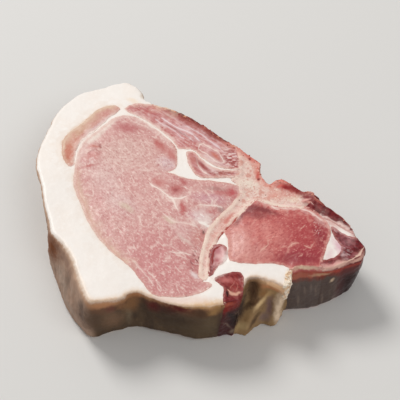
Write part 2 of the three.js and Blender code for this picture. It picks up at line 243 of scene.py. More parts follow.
class Finish(Tree):
    """A material of one slot, painted in layers from its base colour up.

    Colours are given as they show, in steps of 0 to 255.
    """

    def __init__(self, name, base, roughness=0.42, coat=0.05, specular=0.35):
        self.material = bpy.data.materials.new(name)
        self.material.use_nodes = True
        tree = self.material.node_tree
        super().__init__(tree.nodes, tree.links)
        self.shader = tree.nodes["Principled BSDF"]
        self.join(self.shader, "Coat Roughness", 0.2)
        self.join(self.shader, "Specular IOR Level", specular)
        self.place = self.node("ShaderNodeTexCoord", output="Object") * (1 / MM)
        self.x = self.node("ShaderNodeSeparateXYZ", {}, {"Vector": self.place})
        self.y, self.height = self.x.also("Y"), self.x.also("Z")
        self.border, self.rim, self.wall = map(self.trait, ("border", "rim", "wall"))
        self.on_cut = 1 - self.wall
        self.speckle = self.mottle(1.5, 2, 40, 0.6)
        self.swelling = self.mottle(3.2, 2, 42).steps(0.3, 0.68)
        self.plan = self.uneven(self.place * (1, 1, 0))
        self.front = self.uneven(self.vector(self.x, self.height))
        self.side = self.uneven(self.vector(self.y, self.height))
        self.colour = self.mix(0, base, base)
        self.roughness, self.coat, self.bumps = roughness, coat, []

    def uneven(self, view):
        return self.waver(self.waver(view, 6, 1.3, 3), 1.7, 0.45, 8)

    def trait(self, name):
        """A number that the piece's mesh carries at each point."""
        return self.node("ShaderNodeAttribute", {"attribute_name": name}, {}, "Fac")

    def mottle(self, size, detail, seed, rough=0.5, squash=1, along=None):
        """Noise over the piece, squashed in height, or drawn out along a heading by a stretch."""
        place = self.along(self.place, *along) if along else self.place
        return self.noise(place if squash == 1 else place * (1, 1, squash), size, detail, seed, rough)

    def mix(self, share, under, over):
        under, over = (c if isinstance(c, Wire) else tone(*c) for c in (under, over))
        return self.node(
            "ShaderNodeMix", {"data_type": "RGBA"},
            {"Factor_Float": share, "A_Color": under, "B_Color": over}, "Result_Color")

    def lay(self, colour, mask):
        """A layer of colour over what is painted so far."""
        self.colour = self.mix(mask, self.colour, colour)

    def dapple(self, noise, first, here, second, there, mask):
        """Two colours by one noise, each where the noise passes its own two levels."""
        self.lay(first, noise.steps(*here) * mask)
        self.lay(second, noise.steps(*there) * mask)

    def spot(self, middle, halves, heading=0, seen=None):
        """A soft patch round a place, whose edge breaks up into specks."""
        centred = self.node(
            "ShaderNodeMapping", {"vector_type": "TEXTURE"},
            {"Vector": seen or self.plan, "Location": (*middle, 0),
             "Rotation": (0, 0, math.radians(heading)), "Scale": (*halves, 1)})
        apart = centred.sum("LENGTH", centred, output="Value")
        return (apart + (self.speckle - 0.5) * 0.8).steps(1 + PATCH_BLUR / 2, 1 - PATCH_BLUR)

    def patches(self, rows, seen=None, within=1):
        """Each row: colour, strength, middle, half sizes, heading if it is turned."""
        for colour, strength, middle, halves, *heading in rows:
            spot = self.spot(middle, halves, *(heading or [0]), seen)
            self.lay(colour, spot * within * strength)

    def line(self, points, half_width, halo):
        """A line through the points, of uneven width and thin at its ends, in a soft halo."""
        nearest = None
        for start, end in zip(points, points[1:]):
            length = math.dist(start, end)
            side = ((end[0] - start[0]) / length, (end[1] - start[1]) / length, 0)
            started = self.plan - (*start, 0)
            run = started.dot(side).most(0).least(length)
            # A product of a number and a tuple would add a conversion, and with one for each
            # stretch of line Cycles runs out of room and shows the finish as black.
            reached = self.node(
                "ShaderNodeVectorMath", {"operation": "SCALE"}, {0: side, "Scale": run})
            apart = started.apart(reached)
            nearest = nearest.least(apart) if nearest else apart
        from_start, from_end = (self.plan.apart((*end, 0)) for end in (points[0], points[-1]))
        taper = from_start.least(from_end).steps(-1.5, 3)
        width = (self.swelling * 0.9 + 0.35) * taper * half_width
        core = nearest.steps(width * 1.7, width * 0.2)
        return core.most(nearest.steps(width * 4.5, width) * halo)

    def lines(self, rows, halo=0.35):
        """Each row: colour, strength, half width, points."""
        for colour, strength, half_width, points in rows:
            self.lay(colour, self.line(points, half_width, halo) * strength)

    def bump(self, height, depth):
        """Relief too fine for the mesh, depth millimetres high where height goes from 0 to 1."""
        self.bumps.append((height, depth))

    def done(self):
        ends = {"Base Color": self.colour, "Roughness": self.roughness, "Coat Weight": self.coat}
        for height, depth in self.bumps:
            below = {"Normal": ends["Normal"]} if "Normal" in ends else {}
            ends["Normal"] = self.node("ShaderNodeBump", {}, {
                "Height": height, "Distance": depth * MM, "Strength": 1} | below)
        for name, value in ends.items():
            self.join(self.shader, name, value)
        return self.material


# ------------------------------------------------------------------------------------- finishes

SEAM_WHITE = (246, 229, 220)
# Edges between the pieces on the upper cut face, left of the loin muscle and above it.
CAP_OUTER_EDGE = [(-40.2, 51.8), (-44.5, 51.3), (-49, 49), (-53, 43.7), (-57, 38.6),
                  (-62, 33.6), (-64.4, 28.4), (-64, 20.5), (-62, 14)]
UPPER_SEAM = [(-57.9, 14), (-57.3, 21), (-55.4, 27.6), (-49.8, 34.5), (-45.5, 39.8),
              (-41.4, 44.4), (-36, 47), (-30, 45.2), (-24, 41), (-18, 35.4), (-13, 29.6)]
EYE_LEFT_EDGE = [(-57.2, 9), (-57.3, 3.5), (-55.8, -3.5), (-52.8, -11.5), (-48.4, -22.5),
                 (-43.3, -31.5), (-37, -39.6), (-30, -46.3)]


def wall_bands(finish, bands, unevenness=3):
    """The outer wall, from the rim down. Each band: colour, and the depths where it starts."""
    low = finish.mottle(3.6, 3, 21, squash=0.25)
    ragged = finish.mottle(1.2, 3, 22, 0.6)
    depth = SLAB - finish.height + (low - 0.5) * unevenness + (ragged - 0.5) * 1.6
    wall = (finish.wall + (ragged - 0.5) * 0.5).steps(0.12, 0.75) * finish.rim.steps(4.5, 2.5)
    for colour, start, full in bands:
        finish.lay(colour, wall * depth.steps(start, full))
    return wall


def fat_finish():
    """Cream fat on the cut face, warmer beside lean and towards the front rim, where it turns down in
    its own tan and painted shade.
    """
    fat = Finish("pork_fat", (248, 241, 235))
    broad = fat.mottle(13, 2, 1)
    fat.lay((246, 235, 226), broad.steps(0.45, 0.68) * 0.5)
    grain = fat.mottle(1.6, 3, 2)
    fat.lay((253, 248, 243), grain.steps(0.5, 0.7) * 0.5)
    rag = fat.mottle(1.5, 3, 14)
    beside_lean = (fat.border + (rag - 0.5) * 1.8) * fat.on_cut
    fat.lay((242, 219, 205), beside_lean.steps(1.3, -0.2) * fat.on_cut * 0.45)
    fat.lines([
        ((230, 205, 184), 0.8, 1.7, CAP_OUTER_EDGE),
        ((234, 214, 198), 0.75, 1.3, EYE_LEFT_EDGE),
    ])
    front = fat.y.steps(-28, -42)
    warm = (fat.rim + (rag - 0.5) * 2.2).steps(3.6, 0) * fat.on_cut
    fat.lay((236, 206, 176), warm * front * (0.75 - fat.x.steps(18, 22) * 0.45))
    # Where the top turns down to the front wall: partly the fat's own tan, partly painted shade.
    turning_tan_and_shade = (fat.rim + (rag - 0.5) * 1.6).steps(1.8, -0.4) * fat.on_cut
    fat.lay((206, 164, 128), turning_tan_and_shade * front * 0.9)
    fat.lay((226, 182, 132), (fat.rim + (rag - 0.5) * 3).steps(5.4, 0.4)
            * fat.on_cut * fat.spot((4, -66), (9, 5)) * 0.85)
    fat.patches([
        ((246, 222, 196), 0.6, (-31.5, 55.5), (4, 2), -30),
        ((196, 170, 138), 0.5, (-26.8, 59.5), (1.2, 2.6)),
        ((238, 210, 198), 0.8, (-12, -65.6), (12, 1.8), -6),
        ((240, 216, 204), 0.7, (0, -65.6), (8, 2.4)),
        ((222, 174, 186), 0.9, (66.4, -38.6), (3.2, 7.5), 25),
        ((232, 204, 206), 0.7, (60.5, -42), (2, 4), -10),
        ((222, 176, 168), 0.85, (62.6, -22.6), (6, 3), -40),
        ((226, 184, 176), 0.8, (69.5, -26.2), (6, 2), -50),
        ((206, 150, 146), 0.7, (72.5, -30.5), (2.4, 1.6), -60),
    ])
    fat_wall_paint(fat)
    flank_fold_paint(fat)
    fat.roughness = 0.36 + grain * 0.2 + fat.wall * 0.3
    fat.coat = fat.on_cut * 0.1
    fat.bump(grain, 0.06)
    fat.bump(fat.mottle(0.6, 2, 6), 0.02)
    return fat.done()


def fat_wall_paint(fat):
    """The skin on the left wall, and the membrane with red patches on the belly's, in their own colours
    with painted light and shade: the left wall lighter, as lit, the belly's darker.
    """
    # From the rim down: a tan band, then browns that are partly the walls' own colour and partly
    # painted shade.
    wall = wall_bands(fat, [
        ((172, 126, 88), -1.2, 1.2), ((104, 70, 48), 0.8, 3.4), ((94, 73, 53), 4, 9)])
    streaks = fat.mottle(5, 4, 31, squash=0.3)
    veins = fat.mottle(1.5, 3, 17, squash=0.3)
    low_wall = wall * fat.height.steps(SLAB - 2, SLAB - 6)
    fat.lay((68, 50, 37), low_wall * streaks.steps(0.46, 0.66) * 0.75)
    fat.lay((120, 98, 74), low_wall * streaks.steps(0.44, 0.28) * 0.45)
    fat.lay((134, 110, 84), low_wall * veins.steps(0.56, 0.74) * 0.3)

    leftmost = fat.x.steps(-43, -50)
    # Painted light: the left wall is lighter than the front wall, over the skin's own colour.
    lit_skin_side = wall * leftmost
    fat.lay((212, 176, 150), lit_skin_side * 0.9)
    fat.lay((172, 140, 120), lit_skin_side * fat.height.steps(SLAB + 0.5, SLAB - 4.5) * 0.95)
    fat.lay((128, 106, 92), low_wall * leftmost * streaks.steps(0.48, 0.64) * 0.4)
    fat.lay((182, 158, 140), low_wall * leftmost * streaks.steps(0.44, 0.32) * 0.5)
    fat.patches([
        ((126, 70, 32), 1, (-31.5, 20), (7, 10)),
        ((150, 116, 98), 0.7, (-42, 23), (8, 3)),
        ((110, 86, 70), 0.7, (-49, 17), (4, 7)),
        ((96, 74, 60), 0.8, (-66, 16), (4, 10)),
        ((174, 152, 136), 0.65, (-44, 12), (9, 5)),
        ((176, 154, 138), 0.6, (-54, 6), (10, 3.5)),
    ], fat.side, lit_skin_side)

    # The front wall's browns and near-black patches are partly painted shade; the pale bands along its
    # top are partly painted highlight on the rounded rim.
    belly_side = wall * fat.y.steps(-56, -60) * fat.x.steps(-51, -46)
    fat.patches([
        ((118, 82, 60), 0.85, (-41, 22), (6, 4)),
        ((90, 66, 48), 0.9, (-44.5, 15), (5, 8)),
        ((112, 60, 50), 0.75, (-36.5, 22), (2.4, 3.4)),
        ((204, 144, 102), 0.7, (-40, 25.6), (8, 2.4)),
        ((190, 122, 78), 0.6, (-25.5, 26), (4.5, 2)),
        ((132, 100, 76), 0.8, (-36, 13), (5, 8)),
        ((140, 98, 66), 0.8, (-31.5, 23), (2.4, 3.4)),
        ((128, 110, 88), 0.7, (-28.8, 14), (1.6, 9)),
        ((140, 98, 62), 0.85, (-27.4, 21), (4, 6)),
        ((70, 50, 34), 0.7, (-21.5, 20), (2.6, 5)),
        ((92, 16, 12), 0.95, (-17.4, 21.6), (3.8, 4.4), -20),
        ((70, 28, 16), 0.9, (-11.6, 22), (5, 4)),
        ((88, 14, 8), 1, (-6, 25.8), (6.8, 3.4)),
        ((60, 42, 28), 0.8, (-9, 14), (12, 8)),
        ((86, 56, 34), 0.85, (3.5, 22.6), (6, 2.8)),
        ((92, 74, 52), 0.7, (0, 9), (12, 6)),
        ((212, 164, 108), 0.85, (3, 26.8), (9, 1)),
        ((170, 128, 78), 0.85, (9, 23.5), (3.4, 3.2)),
        ((104, 86, 62), 0.6, (7, 13), (4, 7)),
        ((66, 42, 34), 0.9, (11.6, 9), (1.6, 12)),
    ], fat.front, belly_side)


def flank_fold_paint(fat):
    """The folds under the lip of the flank fat: golden ridges and a pale lobe with painted highlights,
    brown hollows with painted shade.
    """
    folds = fat.wall.steps(0.2, 0.7) * fat.y.steps(-50, -53) * fat.x.steps(16.5, 18)
    fat.lay((158, 126, 88), folds * fat.height.steps(26.8, 25))
    # The pale lip, ridges and lobe carry painted highlights; the dark browns in the hollow and grooves
    # are painted shade.
    fat.patches([
        ((255, 206, 160), 0.95, (36.4, 25.2), (8, 2.4), -6),
        ((214, 140, 92), 0.75, (33, 23.6), (6.5, 1.8), -8),
        ((112, 80, 52), 0.95, (25.6, 23.6), (4.6, 3.6), 10),
        ((112, 82, 60), 0.95, (26, 18.6), (3.2, 6), 5),
        ((150, 106, 62), 0.85, (30.6, 19.8), (2.6, 2.8)),
        ((196, 158, 108), 0.9, (33.4, 19), (1.6, 3.2), -30),
        ((230, 196, 146), 0.95, (29.6, 14), (1.5, 4.6), -40),
        ((160, 126, 84), 0.9, (23.4, 7.6), (1.5, 4.6), -42),
        ((64, 46, 40), 0.95, (20.8, 14), (2.6, 8), -10),
        ((96, 72, 50), 0.9, (27, 5.6), (1.5, 4.6), -40),
        ((182, 154, 110), 0.9, (20.8, 3.6), (3.8, 1.8), 20),
        ((104, 72, 44), 0.9, (27.6, 14.8), (1, 4.2), -42),
        ((86, 60, 40), 0.85, (24, 11.4), (1, 4.4), -42),
        ((66, 48, 36), 0.85, (20.4, 9), (1.8, 4.2), -25),
        ((132, 104, 98), 0.95, (33.5, 11.4), (1.9, 7), -6),
        ((136, 112, 104), 0.85, (31.4, 4.6), (2.4, 3.2)),
        ((248, 220, 190), 0.95, (37.6, 15.6), (1.9, 8), -6),
        ((214, 188, 162), 0.7, (39.6, 19), (1, 5.5)),
        ((250, 222, 192), 0.95, (37.4, 6), (2.2, 5.4), 6),
    ], fat.front, folds)
    torn = folds * fat.x.steps(39.6, 41) * fat.height.steps(16, 21)
    fat.lay((206, 140, 96), torn * fat.cells(fat.place, 1.5).steps(0.3, 0.15) * 0.8)


def lean_grain(finish, heading, pale, dark, strength=1, width=0.9, stretch=2.6):
    """The fine streaks and specks of cut muscle fibre, pale and dark."""
    fibres = finish.mottle(width, 2, 11, 0.62, along=(heading, stretch))
    clots = finish.mottle(2.3, 2, 10)
    finish.dapple(clots, dark, (0.5, 0.3), pale, (0.52, 0.7), 0.4 * strength)
    finish.dapple(fibres, pale, (0.52, 0.72), dark, (0.48, 0.28), 0.8 * strength)
    specks = finish.cells(finish.place, 1.6).steps(0.26, 0.12)
    finish.lay(pale, specks * finish.mottle(2.6, 1, 12).steps(0.5, 0.6) * strength)
    finish.bump(fibres, 0.16)
    finish.bump(finish.mottle(0.5, 2, 13), 0.04)


def marbling(finish, heading, colour, strength, size=5, stretch=3):
    """A faint broken net of thin fat veins between the bundles of fibres."""
    net = finish.cells(finish.waver(finish.along(finish.place, heading, stretch), 3, 0.8, 44),
                       size, "DISTANCE_TO_EDGE")
    broken = finish.mottle(4.5, 2, 45).steps(0.48, 0.62)
    finish.lay(colour, net.steps(0.06, 0.012) * broken * strength)


def soft_border(finish, width, beige, edge, strength=0.8, wider=0):
    """The blurred edge where lean turns to fat: beige at first, then nearly as pale as the fat.

    It is width across, and more where wider is above 0.
    """
    uneven = finish.mottle(1.3, 3, 14, 0.6) - 0.5
    inside = (finish.border + uneven * (width + 0.5)) / (wider + 1)
    shown = finish.on_cut * strength
    finish.lay(beige, inside.steps(width * 1.3, width * 0.2) * shown)
    finish.lay(edge, inside.steps(width * 0.65, -0.1) * shown)


def loin_finish():
    """The pale loin muscle: pink and mottled, with red stains, white veins and knife marks."""
    loin = Finish("loin_lean", (215, 163, 157))
    mottling = loin.mottle(7, 3, 7)
    loin.dapple(mottling, (204, 139, 136), (0.48, 0.66), (224, 184, 176), (0.46, 0.3), 0.7)
    loin.patches([
        ((206, 132, 132), 0.85, (-14, -47), (22, 19), -50),
        ((218, 179, 170), 0.85, (-33, 19), (17, 14)),
        ((224, 192, 186), 0.6, (-42, 3), (12, 8), -60),
        ((224, 194, 190), 0.6, (-34, -12), (10, 6), -45),
        ((222, 180, 176), 0.7, (-6, -28), (8, 4), -40),
        ((224, 196, 197), 0.85, (-13.4, 12.8), (5.5, 4.2), -40),
        ((204, 150, 160), 0.7, (7, -9.6), (9, 3.6), -10),
        ((214, 168, 174), 0.7, (1.4, -20), (5, 3.2), -20),
        ((202, 128, 120), 0.7, (3.2, -31.5), (5, 5), -30),
    ])
    lean_grain(loin, -52, (242, 214, 205), (188, 118, 116), 0.9, 0.85, 1.6)
    marbling(loin, -52, (242, 214, 204), 0.6)
    loin.patches([
        ((186, 98, 100), 0.8, (-33.5, 36.8), (7.5, 4), -15),
        ((196, 114, 108), 0.85, (-16.8, 24.6), (2.8, 5.6), 35),
        ((188, 92, 88), 0.7, (-18, 26.5), (2, 3.4), 35),
        ((198, 118, 112), 0.85, (-11.6, 18.6), (2.6, 5), 25),
        ((200, 122, 116), 0.75, (-17.4, 0.2), (4.4, 3), -30),
        ((184, 92, 90), 0.85, (-8.6, -3.4), (4, 3.6)),
        ((156, 60, 60), 0.8, (-8.4, -4.4), (1.4, 1.2)),
        ((186, 94, 92), 0.8, (-5.6, 1.2), (1.2, 3), 30),
        ((186, 82, 80), 0.95, (-5.5, -15), (1.9, 4.6), 8),
        ((190, 76, 80), 0.9, (17.4, -5.6), (3.2, 3)),
        ((190, 98, 98), 0.7, (13, -6), (4, 2.2)),
        ((172, 122, 118), 0.6, (9.6, -3.4), (6.4, 1.6), -8),
        ((160, 130, 128), 0.6, (12.8, -16.4), (3.4, 1.6), -35),
        ((194, 106, 106), 0.7, (7, -17.4), (3.8, 1.6), -10),
        ((216, 196, 172), 0.8, (-11.4, -22), (3.6, 1.8), -35),
        ((216, 196, 172), 0.6, (-32, -14.6), (5, 1.8), -40),
        ((226, 200, 190), 0.7, (-4.2, -33.4), (5.4, 1.2), -42),
        ((112, 64, 58), 0.85, (4.6, -29), (0.9, 1.2)),
        ((180, 98, 98), 0.6, (-0.6, -46), (2.8, 5.6), 5),
        ((238, 222, 220), 0.85, (-0.2, -52.4), (2.6, 1.1), -48),
        ((234, 216, 204), 0.95, (-49.6, 30.2), (6.4, 2.8), 50),
        ((234, 214, 202), 0.9, (-43.8, 37.8), (6, 2), 48),
        ((196, 112, 98), 0.8, (-49.4, 24.2), (3.4, 1.1)),
        ((150, 70, 62), 0.85, (-46.2, 24.4), (0.8, 2.4), 15),
        ((200, 120, 114), 0.6, (-49.8, 18), (3.6, 3.8)),
        ((188, 98, 94), 0.75, (-50.6, 11.6), (3.2, 0.9), 8),
        ((240, 216, 210), 0.7, (-49.4, 14.2), (1.2, 1.5)),
    ])
    white, pale = (248, 230, 220), (240, 212, 203)
    loin.lines([
        (white, 0.95, 0.5, [(-21.5, 1.5), (-19.6, -1.5), (-16.9, -3.9), (-12.7, -7.1), (-10.5, -9.2),
            (-7.8, -9.5), (-4.2, -8.3)]),
        (white, 0.9, 0.6, [(-10.5, -9), (-9, -12.7), (-7.7, -16.7)]),
        (pale, 0.9, 0.45, [(-14.7, -17.8), (-12, -20.7), (-9.3, -23.4), (-5.8, -24.1), (-2.3, -24.3),
            (1.2, -26.3)]),
        (white, 0.8, 0.35, [(1.2, -13.9), (3.8, -13.3), (7.8, -13.3), (10.5, -14.1), (12.7, -15)]),
        (white, 0.7, 0.3, [(7.9, -10.6), (7.8, -13.3)]),
        (white, 0.8, 0.3, [(-6.6, -2), (-4.6, -2.2), (-3, -3.6)]),
        (pale, 0.8, 0.3, [(-54.1, 9.5), (-49.8, 8.2), (-47.2, 6.6)]),
        ((166, 88, 84), 0.7, 0.25, [(-52.3, 19.6), (-50.6, 21.6), (-47.9, 21.8), (-46.4, 20.4)]),
        ((240, 212, 206), 0.7, 0.25, [(-50.9, 12.6), (-51, 15.6), (-49.2, 16.6), (-47.9, 15.2)]),
        (pale, 0.7, 0.28, [(-27.8, 8.6), (-20.2, 8.6)]),
        (pale, 0.8, 0.3, [(-28.5, -44.8), (-23.7, -49.4), (-20.1, -54.7), (-17.5, -58.8)]),
        (pale, 0.75, 0.26, [(-20.7, -50.5), (-17.1, -55.7), (-13.7, -60.8)]),
        (white, 0.8, 0.28, [(-11.2, -40), (-8.1, -41), (-4.7, -40.5), (-1.3, -41.6)]),
        ((250, 240, 232), 1, 1.5, [(2.1, -23.5), (4.9, -24.6), (7.7, -25.9), (11, -27.4)]),
        ((250, 240, 234), 1, 1.5, [(3.2, -19.4), (4.4, -20.4)]),
    ])
    hatches = loin.mottle(0.8, 1, 41, along=(-52, 3.2))
    cut_marks = loin.spot((0.8, -43.6), (2.4, 6.6), -8)
    loin.lay((240, 218, 210), hatches.steps(0.46, 0.34) * cut_marks * 0.8)
    loin.lay((100, 60, 56), hatches.steps(0.55, 0.64) * cut_marks * 0.85)
    loin.lay((212, 178, 154), loin.border.steps(4, 0.2) * loin.x.steps(-42, -52)
             * loin.y.steps(12, 0) * 0.75)
    loin.lines([((220, 186, 164), 0.8, 1.5, EYE_LEFT_EDGE)])
    left = loin.x.steps(-30, -46)
    soft_border(loin, 0.55, (212, 158, 146), (241, 219, 207), wider=left * 1.8)
    loin.lines([(SEAM_WHITE, 0.95, 1.4, UPPER_SEAM)])
    loin.roughness = 0.38 + mottling * 0.14
    loin.coat = loin.border.steps(0, 2) * 0.14
    return loin.done()


def spine_finish():
    """The striped muscles along the sawn edge, which is ragged and dark red."""
    heading = -38  # of their fibres
    spine = Finish("spine_lean", (202, 132, 129))
    stripes = spine.mottle(1.5, 2, 9, along=(heading, 7))
    spine.dapple(stripes, (222, 178, 178), (0.5, 0.66), (186, 98, 94), (0.47, 0.33), 0.8)
    lean_grain(spine, heading, (234, 198, 192), (170, 88, 86), 0.75, 0.8, 3)
    spine.patches([
        ((184, 88, 86), 0.8, (-22.6, 47), (4.2, 1.4), -35),
        ((198, 118, 116), 0.6, (-10, 36), (8, 2.2), -40),
        ((214, 172, 170), 0.6, (9, 15), (8, 4), -35),
        ((218, 162, 154), 0.7, (14, 27), (5, 2.6), -30),
        ((202, 110, 90), 0.85, (10.2, 17.4), (3.2, 1.3), -50),
        ((200, 128, 118), 0.7, (-1.2, 16), (1.6, 4), 10),
        ((238, 218, 212), 0.6, (12.6, 9.6), (5, 1.8), -38),
        ((226, 182, 174), 0.7, (15, 21.4), (3.4, 3)),
    ])
    teeth = spine.mottle(1, 1.5, 19, along=(-6, 1.9))
    end = spine.spot((18, 14.5), (5, 10.5), 8).most(spine.spot((12.4, 6.6), (7, 2.4)))
    spine.dapple(teeth, (238, 212, 206), (0.5, 0.4), (156, 68, 64), (0.5, 0.6), end * 0.9)
    lavender, white = (236, 214, 216), (244, 220, 210)
    spine.lines([
        (lavender, 0.95, 0.5, [(-17.1, 43.8), (-12.4, 40.3), (-6.6, 35.7), (-0.9, 31.2), (2.8, 27.3)]),
        (lavender, 0.8, 0.45, [(-8.6, 35.2), (-4, 31), (-0.8, 27.4)]),
        (lavender, 0.85, 0.45, [(-5, 38), (4, 31.2), (9.6, 25.4), (14.6, 19.6)]),
        (lavender, 0.7, 0.4, [(-20, 43), (-12, 36.6), (-5, 29)]),
        (lavender, 0.7, 0.35, [(3, 34.6), (10, 28.6), (16, 22.6)]),
        (white, 0.9, 0.36, [(1.6, 22.9), (2, 25), (4.1, 25.6), (7.7, 23.4), (11.3, 20.1), (13.2, 16.8),
            (13.6, 14.1), (12, 13), (9.6, 14.6), (6.8, 17.3), (3.3, 20.6), (1.6, 22.9)]),
        (white, 0.9, 0.38, [(0.8, 15.6), (1.6, 11.4), (4, 7.7), (6.8, 5.4)]),
        ((152, 72, 68), 0.7, 0.4, [(-14, 39.6), (-8, 34.6), (-2.6, 29.4)]),
    ])
    spine.patches([
        ((244, 226, 222), 0.95, (7, 12.6), (2.6, 6.8), 40),
        ((186, 104, 102), 0.5, (0.4, 10.8), (1.4, 7.4), 30),
        ((160, 70, 66), 0.9, (4.3, 10.6), (1.5, 7.4), 38),
        ((168, 84, 74), 0.7, (13.4, 6.4), (5.6, 1.3), 4),
    ])
    rag = spine.mottle(1.5, 3, 23, 0.65)
    broad = spine.mottle(5, 2, 24)
    dark_run = spine.spot((-4, 43), (14, 7), -38).most(spine.spot((9, 32), (7, 4), -40))
    depth = spine.rim + (rag - 0.5) * 4 + (broad - 0.5) * 3
    spine.lay((204, 118, 104), depth.steps(4.4, 1) * 0.7)
    spine.lay((156, 66, 58), depth.steps(7.4, 3) * dark_run * 0.85)
    spine.lay((134, 48, 40), depth.steps(3.8, 1.2) * dark_run * 0.9)
    spine.lay((92, 34, 28), depth.steps(2.2, 0.4) * broad.steps(0.48, 0.58) * 0.9)
    spine.lay((226, 160, 122), depth.steps(2.2, 0) * rag.steps(0.46, 0.36) * 0.85)
    spine.lines([((238, 214, 192), 0.95, 1.6, [(-27.5, 55), (-21, 53.4), (-15, 51.4), (-10.4, 48.6)])])
    wall_bands(spine, [((140, 66, 54), -1, 1), ((112, 54, 48), 2, 6), ((92, 50, 46), 7, 13)])
    soft_border(spine, 0.9, (222, 172, 160), (243, 222, 210))
    spine.lines([(SEAM_WHITE, 0.95, 1.2, UPPER_SEAM)])
    spine.roughness = 0.34 + rag * 0.2
    spine.coat = spine.border.steps(0, 2) * 0.18
    return spine.done()


def cap_finish():
    """The thin brown-pink muscle inside the fat."""
    cap = Finish("cap_lean", (208, 152, 140))
    mottling = cap.mottle(4, 3, 15)
    cap.lay((214, 168, 160), mottling.steps(0.5, 0.62) * 0.8)
    cap.lay((208, 136, 116), cap.spot((-60, 24), (9, 13)) * 0.85)
    lean_grain(cap, 48, (230, 192, 182), (192, 124, 112), 0.7, 0.9, 1.8)
    cap.patches([
        ((204, 120, 98), 0.9, (-61.8, 20), (3, 8)),
        ((206, 138, 134), 0.7, (-46, 46), (6, 2.4), 40),
        ((204, 158, 130), 0.8, (-57, 34.5), (5, 2.2), 45),
        ((204, 160, 138), 0.7, (-49.5, 43.5), (4, 1.6), 45),
        ((210, 162, 158), 0.7, (-52, 33.5), (6, 1.8), 50),
        ((214, 178, 180), 0.7, (-46.6, 40.6), (9, 0.8), 48),
    ])
    outer_side = cap.spot((-61, 41), (28, 10), 50)
    soft_border(cap, 0.5, (218, 180, 172), (240, 220, 210), (1 - outer_side) * 0.8)
    cap.lines([
        ((204, 158, 130), 0.6, 2.4, CAP_OUTER_EDGE),
        ((222, 190, 166), 0.9, 1.2, CAP_OUTER_EDGE),
        (SEAM_WHITE, 0.9, 1.1, UPPER_SEAM),
    ])
    cap.lay((198, 116, 94), cap.spot((-61.4, 19.6), (2.6, 6.5)) * 0.75)
    cap.coat = cap.border.steps(0, 2) * 0.1
    return cap.done()


def tender_wall(finish, where=1):
    """The wall under the tenderloin: a pale rim, a red band, and a grey film with upright folds, partly
    painted shade, with painted highlights on the folds.
    """
    wall = wall_bands(finish, [], 1.6) * where
    finish.lay((168, 66, 52), wall * finish.height.steps(SLAB - 0.8, SLAB - 2.2))
    low = finish.mottle(5, 3, 28, squash=0.25)
    folds = finish.mottle(2.4, 3, 29, squash=0.2)
    depth = SLAB - finish.height + (low - 0.5) * 7
    to_tip = finish.x.steps(44, 62)
    finish.lay((176, 100, 76), wall * depth.steps(1.2, 2.6) * (1 - to_tip) * 0.8)
    film_depth = depth + to_tip * 2
    # The film's browns and greys are partly its own colour, partly painted shade.
    finish.lay((112, 62, 52), wall * film_depth.steps(4.6, 6.2) * 0.9)
    finish.lay((92, 76, 70), wall * film_depth.steps(6.2, 8.6))
    # Painted highlights on the folds' ridges and painted shade in their creases.
    under = wall * finish.height.steps(SLAB - 6, SLAB - 9)
    finish.lay((124, 106, 96), under * folds.steps(0.54, 0.72) * 0.8)
    finish.lay((70, 50, 50), under * folds.steps(0.46, 0.3) * 0.7)
    finish.lay((160, 144, 134), wall * finish.height.steps(1.4, 0.3) * folds.steps(0.4, 0.6))
    finish.patches([
        ((226, 196, 166), 0.8, (61.8, 18.8), (0.8, 1.8), -20),
        ((206, 168, 134), 0.7, (56, 23.6), (5, 0.9), 8),
    ], finish.front, wall)
    pale_rim = finish.mottle(1.8, 3, 30)
    rim_depth = SLAB - finish.height + (pale_rim - 0.5) * 2
    patchy = finish.mottle(4, 2, 33).steps(0.66, 0.44) * 0.5 + 0.5
    pale_edge = finish.mix(finish.x.steps(46, 58), (244, 210, 180), (226, 176, 160))
    finish.lay(pale_edge, rim_depth.steps(1.1, 0.1) * rim_depth.steps(-1.4, -0.5)
               * finish.rim.steps(1, 0.1) * finish.y.steps(-38, -44) * patchy * where)


